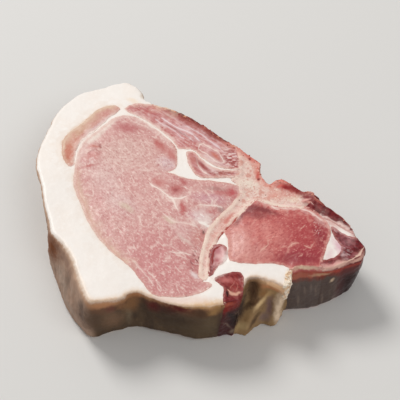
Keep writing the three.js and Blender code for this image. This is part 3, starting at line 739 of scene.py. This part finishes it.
def tenderloin_finish():
    """The tenderloin: paler at the left, deep crimson at the right, with painted glints along its upper
    edge.
    """
    tender = Finish("tenderloin_lean", (204, 112, 106))
    mottling = tender.mottle(6, 3, 25)
    tender.lay((212, 134, 126), mottling.steps(0.5, 0.66) * 0.55)
    tender.patches([
        ((221, 162, 152), 0.9, (18.5, -37), (8, 13)),
        ((214, 146, 138), 0.7, (28, -42), (7, 6)),
        ((176, 66, 70), 0.9, (50, -30), (13, 14)),
        ((158, 46, 60), 0.9, (48, -43), (12, 6)),
        ((190, 92, 90), 0.7, (38, -21), (9, 4), -20),
        ((220, 136, 128), 0.65, (35, -31), (7, 5)),
        ((150, 52, 62), 0.8, (57.5, -32), (3.6, 12)),
    ])
    lean_grain(tender, 40, (224, 152, 142), (160, 58, 62), 0.75, 0.9, 1.6)
    marbling(tender, 40, (232, 174, 160), 0.35, 6, 2.5)
    tender.patches([
        ((120, 38, 44), 0.8, (25.6, -15.4), (6, 4.2), -30),
        ((124, 42, 48), 0.95, (21, -20), (6.6, 2.4), 55),
        ((126, 46, 50), 0.9, (32.6, -16.8), (6.6, 2.4), -24),
        ((142, 56, 58), 0.75, (29, -20), (6.4, 2.8)),
        ((150, 54, 62), 0.7, (47, -45), (12, 3.4)),
    ])
    pale, white = (236, 184, 168), (246, 222, 212)
    tender.lines([
        (pale, 0.8, 0.3, [(34.9, -34.2), (33.4, -35), (33.2, -37), (31.3, -39.4), (29.6, -41.2)]),
        (pale, 0.6, 0.28, [(36.4, -31.8), (34.9, -34.2)]),
        (pale, 0.8, 0.28, [(50.6, -26), (49.6, -27.6), (48.3, -29)]),
        (pale, 0.75, 0.28, [(41.6, -39.2), (44.4, -37), (47.2, -36.6)]),
        (pale, 0.75, 0.26, [(53.8, -36), (51.8, -38.6), (49, -37.6)]),
        (pale, 0.7, 0.26, [(48, -42), (46, -43.6)]),
        (white, 0.95, 0.8, [(29.6, -10.2), (34.6, -12.6), (37.6, -14.8), (42, -15.2), (47.4, -14.6)]),
        (white, 0.8, 0.4, [(36.4, -13.4), (37.8, -15.6), (40, -16.6)]),
        ((242, 212, 204), 0.95, 0.8, [(44, -15.8), (49, -15.6), (53, -17.4), (57, -20.6), (60.6, -24)]),
        (white, 0.9, 0.42, [(16.2, -20.4), (18.2, -21.8), (20.2, -20.8), (20.6, -19.4)]),
        (white, 0.7, 0.3, [(60.7, -24.2), (62.1, -29.9)]),
    ])
    # Painted highlights: small glints along the upper edge and the right end.
    glints = tender.cells(tender.place, 1.2)
    glint_zone = tender.spot((21.8, -17.6), (6, 1.8), 50)
    for middle, halves, heading in [((37.6, -16.6), (4, 1.8), -15), ((56, -27), (2.4, 8), 8)]:
        glint_zone = glint_zone.most(tender.spot(middle, halves, heading))
    tender.lay((240, 206, 200), glints.steps(0.28, 0.14) * glint_zone * 0.8)
    tender_wall(tender)
    soft_border(tender, 0.8, (214, 146, 136), (234, 196, 184))
    tender.roughness = 0.3 + mottling * 0.2
    tender.coat = tender.border.steps(0, 2) * 0.18
    return tender.done()


def dark_finish():
    """The four small dark muscles: at the sawn edge, the tip, the lower process and the flank."""
    dark = Finish("dark_lean", (120, 34, 38), specular=0.12)
    mottling = dark.mottle(2.4, 3, 27)
    dark.lay((146, 62, 66), mottling.steps(0.52, 0.68) * 0.6)
    dark.lay((84, 24, 28), mottling.steps(0.46, 0.32) * 0.8)
    dark.patches([
        ((214, 158, 158), 0.95, (11.6, -43.6), (4.6, 8)),
        ((160, 66, 62), 0.9, (17.5, -58), (5, 6)),
        ((172, 92, 88), 0.8, (11.5, -55.6), (3.6, 2)),
        ((112, 40, 42), 0.8, (14.6, -62), (1.6, 4)),
        ((176, 92, 96), 0.7, (60, -46.6), (5, 1.4), 8),
    ])
    lean_grain(dark, -45, (178, 104, 102), (80, 24, 28), 0.7)
    dark.patches([
        ((232, 184, 182), 0.9, (12, -42.6), (4, 8)),
        ((186, 112, 120), 0.8, (10.4, -39.6), (1.8, 2.2)),
        ((176, 92, 98), 0.8, (10, -44.6), (1.6, 1.4)),
        ((172, 84, 76), 0.8, (11.6, -35.4), (2.8, 1.1)),
        ((194, 112, 108), 0.8, (14, -56.2), (3.4, 1.8)),
    ])
    frayed = dark.mottle(0.9, 3, 51, 0.6, along=(150, 2.2))
    beside_fat = dark.spot((66.6, -38), (3.6, 7.2), 20)
    dark.lay((140, 78, 84), beside_fat * 0.5)
    dark.lay((222, 196, 196), beside_fat * frayed.steps(0.5, 0.62) * 0.8)
    dark.lay((206, 176, 178), dark.spot((65.6, -38.6), (1.8, 6), 20) * frayed.steps(0.36, 0.5) * 0.9)
    clotted = dark.cells(dark.waver(dark.place, 1.6, 0.8, 52), 2.2)
    dark.lay((178, 116, 122), dark.spot((68.6, -33.6), (4, 4.6), -30) * 0.6)
    edge_end = dark.spot((61, -13.5), (13, 5), -46)
    dark.lay((106, 20, 26), edge_end * 0.75)
    dark_tip = dark.x.steps(52, 58)
    dark.lay((82, 18, 24), clotted.steps(0.7, 0.2) * dark_tip * 0.6)
    dark.lay((150, 90, 96), clotted.steps(0.66, 0.8) * dark_tip * dark.y.steps(-32, -36) * 0.5)
    dark.lay((132, 36, 38), clotted.steps(0.62, 0.8) * edge_end * 0.5)
    dark.lines([
        ((140, 36, 34), 0.95, 0.55, [(13, -36.2), (9.4, -38.2), (8.1, -41), (7.7, -46.4)]),
        ((160, 60, 62), 0.9, 0.7, [(8.6, -49), (8.2, -53.4)]),
        ((216, 144, 128), 0.5, 0.25, [(17.8, -55.6), (17, -58), (15.6, -60.4)]),
        ((216, 144, 128), 0.45, 0.25, [(18.2, -56.6), (19, -59.4), (18.4, -61.8)]),
        ((236, 184, 160), 0.8, 0.7, [(14.8, -60.6), (16.4, -62.8), (18.6, -63.4), (20.8, -62)]),
        ((50, 24, 22), 0.95, 0.7, [(14.2, -61.4), (14.6, -64.6)]),
        ((242, 212, 204), 0.95, 1.7, [(57, -18.9), (61.4, -21.5), (64.9, -23.6), (68.7, -26.7),
            (72.2, -30.4)]),
        ((210, 166, 166), 0.9, 1.1, [(60.6, -23.2), (64, -26.2), (67.5, -29.2), (70.5, -32.2)]),
        ((222, 160, 140), 0.6, 0.25, [(52.8, -5.3), (60.8, -12.8), (67.8, -19.4), (71.9, -27),
            (73.6, -32)]),
        ((206, 110, 100), 0.5, 0.4, [(53.6, -6.8), (60, -13.6)]),
        ((236, 200, 190), 0.8, 0.6, [(52.6, -9.6), (55, -12.4)]),
        ((228, 172, 164), 0.9, 1.7, [(54, -49.2), (60.4, -48.2), (66, -46.2)]),
        ((236, 200, 182), 0.9, 0.6, [(51, -49.8), (56, -49.6), (60.4, -48.8), (65, -47.4), (70, -44.8),
            (74, -41.6), (76.6, -37.4)]),
        ((210, 174, 174), 0.7, 0.3, [(62.6, -23.8), (64.6, -29.4)]),
    ], 0.1)
    flank = dark.x.steps(25, 23)
    tip = dark.x.steps(50, 52) * dark.y.steps(-34, -36)
    wall = wall_bands(dark, [((124, 52, 48), 0.4, 2.6), ((80, 42, 42), 4.5, 8)], 2.4)
    # On the flank muscle's wall under the fat's lip: the near-black patches are painted shade, and the
    # thin pale strips are painted highlights on the film.
    dark.patches([
        ((136, 38, 32), 0.9, (15.5, 22.6), (4.5, 4.2)),
        ((190, 92, 70), 0.7, (14.6, 25.6), (3, 1.6)),
        ((48, 38, 38), 0.9, (18.4, 12), (4.4, 9)),
        ((44, 32, 32), 0.8, (17, 15), (1.2, 6), 25),
        ((132, 108, 96), 0.7, (14.6, 9), (0.7, 5), 30),
        ((124, 100, 90), 0.6, (19.4, 14), (0.6, 4.6), 20),
        ((150, 128, 110), 0.7, (17.4, 3), (2, 1.6)),
    ], dark.front, wall * flank)
    tender_wall(dark, tip)
    dark.lay((96, 44, 46), wall * tip * dark.x.steps(62.5, 67.5)
             * dark.height.steps(SLAB - 1, SLAB - 4) * 0.8)
    dark.lay((40, 24, 24), wall * tip * dark.x.steps(63, 70)
             * dark.height.steps(SLAB - 5, SLAB - 11) * 0.85)
    soft_border(dark, 0.6, (170, 94, 90), (214, 166, 156), 0.7)
    dark.patches([
        ((238, 222, 216), 0.9, (14.6, -45), (2.4, 7), -18),
        ((240, 224, 216), 0.95, (11.8, -50), (2.2, 4.8), -28),
    ])
    dark.roughness = 0.3 + mottling * 0.2
    dark.coat = dark.border.steps(0, 1.5) * 0.12
    return dark.done()


def bone_finish():
    """Sawn bone: chalky marrow with pores, blushed with blood along the sawn edge."""
    bone = Finish("chop_bone", (232, 199, 188), specular=0.2)
    mottling = bone.mottle(3.2, 4, 35)
    bone.dapple(mottling, (216, 158, 144), (0.5, 0.62), (242, 220, 204), (0.48, 0.36), 0.85)
    bone.patches([
        ((230, 180, 170), 0.5, (10.5, -32), (5, 22), -24),
        ((238, 222, 208), 0.7, (26, 0), (6, 4)),
        ((236, 210, 190), 0.8, (46, -8), (6, 2.6), -25),
        ((222, 156, 142), 0.8, (38, -6), (4.6, 4)),
        ((214, 150, 142), 0.8, (44.5, -6), (4.4, 2.4)),
    ])
    crumbs = bone.mottle(0.8, 2, 36, 0.65)
    bone.dapple(crumbs, (250, 232, 216), (0.55, 0.7), (204, 132, 118), (0.45, 0.3), 0.75)
    blush = bone.mottle(2.2, 3, 37, 0.6)
    spine_side = bone.y.steps(-12, -6)
    depth = bone.rim + (blush - 0.5) * 7
    bone.lay((228, 148, 132), depth.steps(5, 0.6) * spine_side * 0.65)
    bone.lay((196, 76, 64), depth.steps(3.2, 0.6) * spine_side * blush.steps(0.5, 0.6))
    bone.lay((128, 44, 40), depth.steps(1.6, 0) * spine_side * blush.steps(0.54, 0.64) * 0.9)
    bone.patches([
        ((208, 96, 82), 0.75, (26.6, 19), (2.6, 7), 34),
        ((200, 84, 74), 0.8, (30.4, 5), (1.2, 3.6), 10),
        ((232, 206, 190), 0.9, (32.2, 9.6), (0.9, 4.8), -10),
        ((128, 36, 34), 0.9, (26.9, 16.3), (0.7, 0.9)),
        ((120, 34, 36), 0.9, (30.8, 3.4), (0.8, 0.9)),
        ((170, 40, 40), 0.95, (44, -1.8), (7.4, 2.6), -24),
        ((216, 112, 100), 0.8, (40.4, -0.6), (1.6, 1), 30),
        ((144, 36, 40), 0.85, (43.4, -2), (2.6, 0.9), -20),
        ((212, 120, 110), 0.75, (46.4, -3.2), (1.2, 1.8), -30),
        ((130, 30, 32), 0.95, (48.2, -2.8), (7, 3), -42),
        ((140, 46, 48), 0.9, (53.2, -9), (4, 1.8), -50),
        ((224, 128, 116), 0.85, (41, 3.4), (4, 1.2), -30),
        ((244, 222, 212), 0.9, (50, -9.6), (2.4, 1), -20),
        ((206, 110, 100), 0.8, (52.6, -11.2), (2.4, 1.2)),
        ((242, 212, 204), 0.8, (43.4, -13.2), (7, 1), 4),
        ((206, 118, 108), 0.8, (15.4, -20.8), (1.2, 4.4), -38),
    ])
    cortex = bone.border + crumbs - 0.5
    bone.lay((246, 224, 208), cortex.steps(1.5, 0.5) * cortex.steps(-0.2, 0.4) * (1 - spine_side) * 0.7)
    bone.lines([
        ((172, 62, 54), 0.95, 0.6, [(19.6, -20.6), (17.5, -24.2), (14.9, -26.9), (12.9, -29.2),
            (11.4, -34.2), (9.9, -36.7)]),
        ((176, 62, 54), 0.9, 0.6, [(9.4, -36.6), (7.6, -39.5), (7.2, -43.9), (7.3, -51.6)]),
    ])
    bone.patches([
        ((132, 44, 48), 0.95, (54, -9.6), (3.6, 5.4), -30),
        ((234, 176, 166), 0.9, (51.6, -9.8), (2.6, 0.9), 12),
        ((226, 160, 148), 0.8, (53.6, -11.6), (1.8, 0.8), -20),
    ])
    pores = bone.cells(bone.place, 2.6)
    chosen = bone.mottle(3.4, 1, 38).steps(0.5, 0.58)
    bone.lay((112, 66, 56), pores.steps(0.17, 0.08) * chosen * 0.85)
    wall_bands(bone, [((206, 122, 100), -0.5, 1), ((176, 102, 86), 2, 6), ((140, 94, 80), 8, 14)])
    bone.roughness = 0.42 + mottling * 0.2
    bone.bump(crumbs, 0.14)
    bone.bump(bone.mottle(0.5, 2, 39), 0.05)
    return bone.done()


# ----------------------------------------------------------------------------- the fine skins

SKIN_STEP = 0.5  # spacing of the fine skins' points
SMOOTHING = 4  # passes that round the solids' facets off
SEAM_NEAR = 2.6  # a seam between two pieces shapes their skins this far from it
SEAM_WALL = 1.3  # a wall this near another solid is a seam inside the chop
SEAM_OVERLAP = 0.2  # how far each skin reaches into its neighbour
SEAM_LIFT = 0.02  # between the skins of two pieces where they lie on each other
OUTER_WALL = 0.9  # a wall further than this from every other solid is on the outside
FEWEST_OUTER = 20  # a skin with fewer points than this on the outside has no rim
FAR = 99.0  # stands for a distance to something that isn't there
UPRIGHT = 0.5  # a wall is at least this upright, in shares
LEVEL = 0.9  # a normal that points up or down by more than this belongs to a flat face
HEIGHTS_COUNT = 0.3  # how much a height counts in the distance to a seam or a rim
SAME_POINT = 1e-6  # metres: corners of a solid nearer than this are one
CREASE = math.radians(55)  # faces that meet at more than this keep a sharp edge


def evaluated_mesh(thing):
    depsgraph = bpy.context.evaluated_depsgraph_get()
    return bpy.data.meshes.new_from_object(thing.evaluated_get(depsgraph), depsgraph=depsgraph)


def merged_solid(node):
    """A copy of a solid's mesh whose loose triangles are joined."""
    shape = bmesh.new()
    shape.from_mesh(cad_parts[node].data)
    bmesh.ops.remove_doubles(shape, verts=shape.verts, dist=SAME_POINT)
    mesh = bpy.data.meshes.new(node + "_solid")
    shape.to_mesh(mesh)
    shape.free()
    return mesh


def fine_skin(node, solid, step):
    """The solid's form in small even faces, with its facets smoothed."""
    skin = add_object(node + "_skin", solid.copy())
    remesh = skin.modifiers.new("even faces", "REMESH")
    remesh.mode = "VOXEL"
    remesh.voxel_size = step * MM
    smooth = skin.modifiers.new("round facets", "SMOOTH")
    smooth.factor = 0.5
    smooth.iterations = SMOOTHING
    skin.data = evaluated_mesh(skin)
    skin.modifiers.clear()
    return skin


def points_of(mesh, name="co"):
    values = np.zeros(len(mesh.vertices) * 3)
    mesh.vertices.foreach_get(name, values)
    return values.reshape(-1, 3)


def corners_of(mesh):
    """The mesh as triangles: one row of three point numbers for each."""
    mesh.calc_loop_triangles()
    corners = np.zeros(len(mesh.loop_triangles) * 3, np.int32)
    mesh.loop_triangles.foreach_get("vertices", corners)
    return corners.reshape(-1, 3)


def search_tree(triangles):
    corners = triangles.reshape(-1, 3)
    return BVHTree.FromPolygons(corners.tolist(), np.arange(len(corners)).reshape(-1, 3).tolist())


def cut_faces(triangles):
    """Those triangles that make the upper cut face."""
    a, b, c = (triangles[:, i] for i in range(3))
    across = np.cross(b - a, c - a)
    steepness = across[:, 2] / np.maximum(np.linalg.norm(across, axis=1), 1e-9)
    return triangles[(steepness > 0.6) & (triangles[:, :, 2].mean(axis=1) > CUT_FACE_ABOVE)]


def distances(points, targets):
    """How far each point is from the nearest target, with heights counted less."""
    tree = KDTree(len(targets))
    scale = np.array((1, 1, HEIGHTS_COUNT))
    for i, target in enumerate(targets * scale):
        tree.insert(target, i)
    tree.balance()
    return np.array([tree.find(point)[2] for point in points * scale])


def set_trait(mesh, name, values):
    trait = mesh.attributes.new(name, "FLOAT", "POINT")
    trait.data.foreach_set("value", values.astype(np.float32))


def ease(values, low, high):
    """0 at low, 1 at high, smooth between. With low above high it falls instead."""
    share = np.clip((values - low) / (high - low), 0, 1)
    return share * share * (3 - 2 * share)


def grow_together(skin, own, others, rank):
    """Closes the seams round a skin, and notes where its walls and edges are.

    At a seam the skin keeps a sharp edge, reaches into its neighbour and lies level with it. rank
    says which of the two lies on top.
    """
    mesh = skin.data
    points = points_of(mesh) / MM
    normals = points_of(mesh, "normal")
    heights = points[:, 2]
    level = np.abs(normals[:, 2])
    upright = 1 - np.clip((level - 0.35) / 0.5, 0, 1)
    own_body, own_top = search_tree(own), search_tree(cut_faces(own))
    body, top = search_tree(others), search_tree(cut_faces(others))
    apart = np.full(len(points), FAR)
    placed = points.copy()
    for i, point in enumerate(points):
        near, _, _, distance = body.find_nearest(Vector(point), SEAM_NEAR)
        if near is None:
            continue
        apart[i] = distance
        if level[i] < LEVEL and distance < SEAM_WALL:
            home = own_body.find_nearest(Vector(point))[0]
            side = Vector((near.x - home.x, near.y - home.y, 0))
            gap = side.length
            share = 1 - ease(gap, 0.6, SEAM_WALL)
            if gap > 1e-4:
                home += side * ((gap + SEAM_OVERLAP) / gap * share)
            placed[i] = home
        if normals[i, 2] > 0.3 and point[2] > CUT_FACE_ABOVE:
            here = Vector(placed[i])
            own_height = own_top.find_nearest(here)[0].z
            beyond = top.find_nearest(here)[0].z
            if level[i] < LEVEL or distance < 0.8:
                placed[i, 2] = own_height
            share = 1 - ease(distance, 0.5, SEAM_NEAR)
            placed[i, 2] += (0.5 * (own_height + beyond) - own_height) * share
    seams = points[(apart < SEAM_WALL) & (upright > UPRIGHT)]
    outer = points[(apart > OUTER_WALL) & (upright > UPRIGHT)]
    calm = 1 - ease(apart, 0.4, SEAM_NEAR)
    low_down = ease(heights, SLAB - 3, SLAB - 6) * ease(heights, 0.5, 2.0)
    set_trait(mesh, "wall", np.maximum(upright, low_down))
    set_trait(mesh, "border", distances(points, seams))
    rim = distances(points, outer) if len(outer) > FEWEST_OUTER else np.full(len(points), FAR)
    set_trait(mesh, "rim", rim)
    set_trait(mesh, "calm", calm)
    placed += normals * (rank * SEAM_LIFT * calm)[:, None]
    mesh.vertices.foreach_set("co", (placed * MM).ravel())
    mesh.update()


# ----------------------------------------------------------------------- relief and small lumps

# The inputs of the two Geometry Nodes groups, in millimetres and degrees, and their usual values.
RELIEF_INPUTS = {
    "Lump depth": 0.15, "Lump size": 8.0, "Grain depth": 0.08, "Grain size": 1.4,
    "Grain stretch": 1.0, "Grain heading": 0.0, "Wall depth": 0.3, "Wall size": 5.0,
    "Pit depth": 0.0, "Pit size": 2.4, "Rag depth": 0.0, "Rag size": 2.6, "Seed": 0.0,
}
FLECK_INPUTS = {
    "For each square centimetre": 30.0, "Smallest": 0.3, "Largest": 0.7, "Length": 1.4,
    "Flatness": 0.6, "Unevenness": 0.3, "Seed": 0.0,
}
TO_SQUARE_METRE = 1e4  # from a square centimetre


def node_group(name, inputs):
    """A Geometry Nodes group with a skin, a finish and named sizes as its inputs."""
    group = bpy.data.node_groups.new(name, "GeometryNodeTree")
    face = group.interface
    face.new_socket("Skin", in_out="INPUT", socket_type="NodeSocketGeometry")
    face.new_socket("Finish", in_out="INPUT", socket_type="NodeSocketMaterial")
    for title, value in inputs.items():
        face.new_socket(title, in_out="INPUT", socket_type="NodeSocketFloat").default_value = value
    face.new_socket("Skin", in_out="OUTPUT", socket_type="NodeSocketGeometry")
    tree = Tree(group.nodes, group.links)
    entry = group.nodes.new("NodeGroupInput")
    given = {socket.name: Wire(tree, socket) for socket in entry.outputs if socket.name}
    return group, tree, given


def move_and_close(tree, shape, offset, finish):
    """The end of a group: the shape's points shifted, and all of it real and dressed."""
    moved = tree.node("GeometryNodeSetPosition", {}, {"Geometry": shape, "Offset": offset})
    real = tree.node("GeometryNodeRealizeInstances", {}, {"Geometry": moved})
    dressed = tree.node("GeometryNodeSetMaterial", {}, {"Geometry": real, "Material": finish})
    tree.node("NodeGroupOutput", {}, {0: dressed})


def noted(tree, name):
    return tree.node("GeometryNodeInputNamedAttribute", {"data_type": "FLOAT"},
                     {"Name": name}, "Attribute")


def relief_group():
    """Raises lumps, fibre grain, pits and ragged edges on a skin."""
    group, tree, given = node_group("meat relief", RELIEF_INPUTS)
    place = tree.node("GeometryNodeInputPosition") * (1 / MM)
    normal = tree.node("GeometryNodeInputNormal")
    wall = noted(tree, "wall")

    def lumps(where, kind, detail=2):
        noise = tree.noise(where, given[kind + " size"], detail, given["Seed"])
        return (noise - 0.5) * 2 * given[kind + " depth"]

    grain = tree.along(place, given["Grain heading"], given["Grain stretch"])
    pits = tree.cells(place, given["Pit size"]).steps(0.35, 0.1) * given["Pit depth"]
    rise = (
        lumps(place, "Lump")
        + lumps(grain, "Grain") * (1 - wall)
        + lumps(place * (1, 1, 0.3), "Wall", 3) * wall
        - pits * (1 - wall)
        + lumps(place, "Rag", 3) * noted(tree, "rim").steps(5, 0)
    )
    offset = normal * rise * (1 - noted(tree, "calm")) + tree.drift(place, 4, 0.75, 50)
    move_and_close(tree, given["Skin"], offset * MM, given["Finish"])
    return group


def fleck_group():
    """Sprinkles uneven lumps over a skin, as thickly as its wanted trait says."""
    group, tree, given = node_group("meat flecks", FLECK_INPUTS)
    seed = given["Seed"]
    density = noted(tree, "wanted") * given["For each square centimetre"] * TO_SQUARE_METRE
    spread = tree.node("GeometryNodeDistributePointsOnFaces", {"distribute_method": "RANDOM"}, {
        "Mesh": given["Skin"], "Density": density, "Seed": seed}, "Points")
    lump = tree.node("GeometryNodeMeshIcoSphere", {}, {"Radius": 0.5 * MM, "Subdivisions": 2})
    size = tree.node("FunctionNodeRandomValue", {"data_type": "FLOAT"}, {
        "Min_001": given["Smallest"], "Max_001": given["Largest"], "Seed": seed}, "Value_001")
    spin = tree.node("FunctionNodeRandomValue", {"data_type": "FLOAT_VECTOR"}, {
        "Min": (0, 0, 0), "Max": (0.5, 0.5, math.tau), "Seed": seed}, "Value")
    turned = tree.node("FunctionNodeRotateRotation", {"rotation_space": "LOCAL"}, {
        "Rotation": spread.also("Rotation"), "Rotate By": spin})
    lumps = tree.node("GeometryNodeInstanceOnPoints", {}, {
        "Points": spread, "Instance": lump, "Rotation": turned,
        "Scale": tree.vector(size * given["Length"], size, size * given["Flatness"])})
    real = tree.node("GeometryNodeRealizeInstances", {}, {"Geometry": lumps})
    place = tree.node("GeometryNodeInputPosition") * (1 / MM)
    uneven = tree.noise(place, 0.5, 1, 60, output="Color") - 0.5
    depth = given["Unevenness"] * (2 * MM)
    move_and_close(tree, real, uneven * tree.vector(depth, depth, depth), given["Finish"])
    return group


def apply_nodes(thing, group, inputs):
    """Runs a Geometry Nodes group on a thing, with its inputs by name, and keeps the result."""
    modifier = thing.modifiers.new(group.name, "NODES")
    modifier.node_group = group
    for item in group.interface.items_tree:
        if item.in_out == "INPUT" and item.name in inputs:
            modifier[item.identifier] = inputs[item.name]
    thing.data = evaluated_mesh(thing)
    thing.modifiers.clear()
    thing.data.shade_smooth()


# How a skin differs from a smooth one.
FAT_RELIEF = {"Lump depth": 0.18, "Lump size": 9.0, "Grain depth": 0.05, "Grain size": 1.8,
              "Wall depth": 0.55, "Wall size": 4.5}
LEAN_RELIEF = {"Lump depth": 0.2, "Lump size": 6.5, "Grain depth": 0.16, "Grain size": 1.2,
               "Grain stretch": 2.5, "Grain heading": -52.0, "Wall depth": 0.4}
SPINE_RELIEF = LEAN_RELIEF | {"Grain heading": -38.0}
BONE_RELIEF = {"Lump depth": 0.12, "Lump size": 5.0, "Grain depth": 0.12, "Grain size": 1.2,
               "Pit depth": 0.25, "Rag depth": 0.35}
# Each piece: its slot, how much coarser its skin is, and its relief.
PIECES = {
    "back_fat": ("fat", 1.25, FAT_RELIEF),
    "tip_fat": ("fat", 1.0, FAT_RELIEF),
    "flank_fat": ("fat", 1.0, FAT_RELIEF | {"Wall size": 3.0}),
    "loin_eye": ("loin_lean", 1.0, LEAN_RELIEF),
    "chine_muscle": ("spine_lean", 1.0, SPINE_RELIEF | {"Grain stretch": 5.0, "Rag depth": 0.5}),
    "crescent_muscle": ("spine_lean", 1.0, SPINE_RELIEF),
    "cap_muscle": ("cap_lean", 1.0, LEAN_RELIEF | {"Grain heading": 48.0}),
    "tenderloin": ("tenderloin_lean", 1.0, LEAN_RELIEF | {
        "Grain heading": 40.0, "Grain stretch": 1.6}),
    "edge_muscle": ("dark_lean", 1.0, LEAN_RELIEF | {"Rag depth": 0.3}),
    "tip_muscle": ("dark_lean", 1.0, LEAN_RELIEF),
    "rib_muscle": ("dark_lean", 1.0, LEAN_RELIEF),
    "flank_muscle": ("dark_lean", 1.0, LEAN_RELIEF | {"Rag depth": 0.4}),
    "t_bone": ("bone", 1.0, BONE_RELIEF),
}


def make_pieces():
    finishes = {
        "fat": fat_finish(), "bone": bone_finish(), "loin_lean": loin_finish(),
        "spine_lean": spine_finish(), "cap_lean": cap_finish(),
        "tenderloin_lean": tenderloin_finish(), "dark_lean": dark_finish(),
    }
    relief = relief_group()
    solids = {node: merged_solid(node) for node in PIECES}
    triangles = {node: (points_of(solid) / MM)[corners_of(solid)] for node, solid in solids.items()}
    skins = {}
    for rank, (node, (slot, coarseness, depths)) in enumerate(PIECES.items()):
        skin = fine_skin(node, solids[node], SKIN_STEP * coarseness)
        others = np.concatenate([t for other, t in triangles.items() if other != node])
        grow_together(skin, triangles[node], others, rank)
        own = {"Seed": rank + 1.0, "Finish": finishes[slot]}
        apply_nodes(skin, relief, RELIEF_INPUTS | depths | own)
        skin.data.set_sharp_from_angle(angle=CREASE)
        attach(skin, "root")
        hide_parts(node)
        skins[node] = skin
    return skins


# ------------------------------------------------------------------------------- small tissue

SAWN_ABOVE = 24.0  # crumbs lie on the sawn rims above this height
# How thickly the crumbs lie on each sawn rim, as shares.
SAWN_RIMS = {"chine_muscle": 1.0, "t_bone": 0.4, "edge_muscle": 0.3}
CRUMB_SIZES = {"For each square centimetre": 34.0, "Smallest": 0.25, "Largest": 1.0, "Seed": 1.0}
TORN_SIZES = {"For each square centimetre": 110.0, "Smallest": 0.8, "Largest": 2.0,
              "Length": 1.8, "Flatness": 0.5, "Unevenness": 0.45, "Seed": 2.0}


def fleck_finish(name, pale, dark, coat):
    """Scraps of tissue, each somewhere between two colours."""
    scraps = Finish(name, pale, 0.5, coat)
    scraps.lay(dark, scraps.mottle(2, 1, 61).steps(0.48, 0.56))
    scraps.bump(scraps.mottle(0.35, 2, 62), 0.05)
    return scraps.done()


def rim_of(mesh):
    """How far each point of a skin is from the outer edge."""
    values = np.zeros(len(mesh.vertices), np.float32)
    mesh.attributes["rim"].data.foreach_get("value", values)
    return values


def sprinkle(name, finish, beds, group, sizes):
    """A piece made of flecks. Each bed is a skin, and how thickly they lie at each of its points."""
    corners, wanted = [], []
    for skin, thickness in beds:
        faces = corners_of(skin.data)
        faces = faces[thickness[faces].max(axis=1) > 0.01].ravel()
        corners.append(points_of(skin.data)[faces])
        wanted.append(thickness[faces])
    corners = np.concatenate(corners)
    bed = bpy.data.meshes.new(name)
    bed.from_pydata(corners, [], np.arange(len(corners)).reshape(-1, 3))
    set_trait(bed, "wanted", np.concatenate(wanted))
    flecks = add_object(name, bed)
    apply_nodes(flecks, group, FLECK_INPUTS | sizes | {"Finish": finish})
    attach(flecks, "root")


def make_flecks(skins):
    group = fleck_group()
    beds = []
    for node, share in SAWN_RIMS.items():
        x, _, z = (points_of(skins[node].data) / MM).T
        at_rim = 1 - ease(rim_of(skins[node].data), 0.2, 3.4)
        beds.append((skins[node], share * at_rim * (z > SAWN_ABOVE) * ease(x, -14.0, 0.0)))
    crumbs = fleck_finish("saw_crumbs", (216, 140, 118), (142, 56, 50), 0.1)
    sprinkle("saw_crumbs", crumbs, beds, group, CRUMB_SIZES)

    skin = skins["flank_fat"]
    x, _, z = (points_of(skin.data) / MM).T
    torn = ease(x, 38.6, 40.4) * ease(z, 17.0, 22.0) * (rim_of(skin.data) < 1.4)
    scraps = fleck_finish("torn_fat", (248, 234, 216), (236, 204, 170), 0.05)
    sprinkle("torn_fat", scraps, [(skin, torn)], group, TORN_SIZES)


# --------------------------------------------------------------------------------------- floor

FLOOR_HALF = 1600  # from its middle to each edge
FLOOR_GAP = 0.2  # between the floor and the chop
FLOOR_TONE = (222, 221, 219)
FLOOR_ROUGHNESS = 0.75


def make_floor():
    half = FLOOR_HALF * MM
    corners = [(-half, -half, 0), (half, -half, 0), (half, half, 0), (-half, half, 0)]
    mesh = bpy.data.meshes.new("floor")
    mesh.from_pydata(corners, [], [(0, 1, 2, 3)])
    floor = add_object("floor", mesh)
    floor.location.z = -FLOOR_GAP * MM
    material = bpy.data.materials.new("pale_floor")
    material.use_nodes = True
    shader = material.node_tree.nodes["Principled BSDF"]
    shader.inputs["Base Color"].default_value = (*tone(*FLOOR_TONE), 1)
    shader.inputs["Roughness"].default_value = FLOOR_ROUGHNESS
    mesh.materials.append(material)


make_camera()
make_studio()
make_flecks(make_pieces())
make_floor()
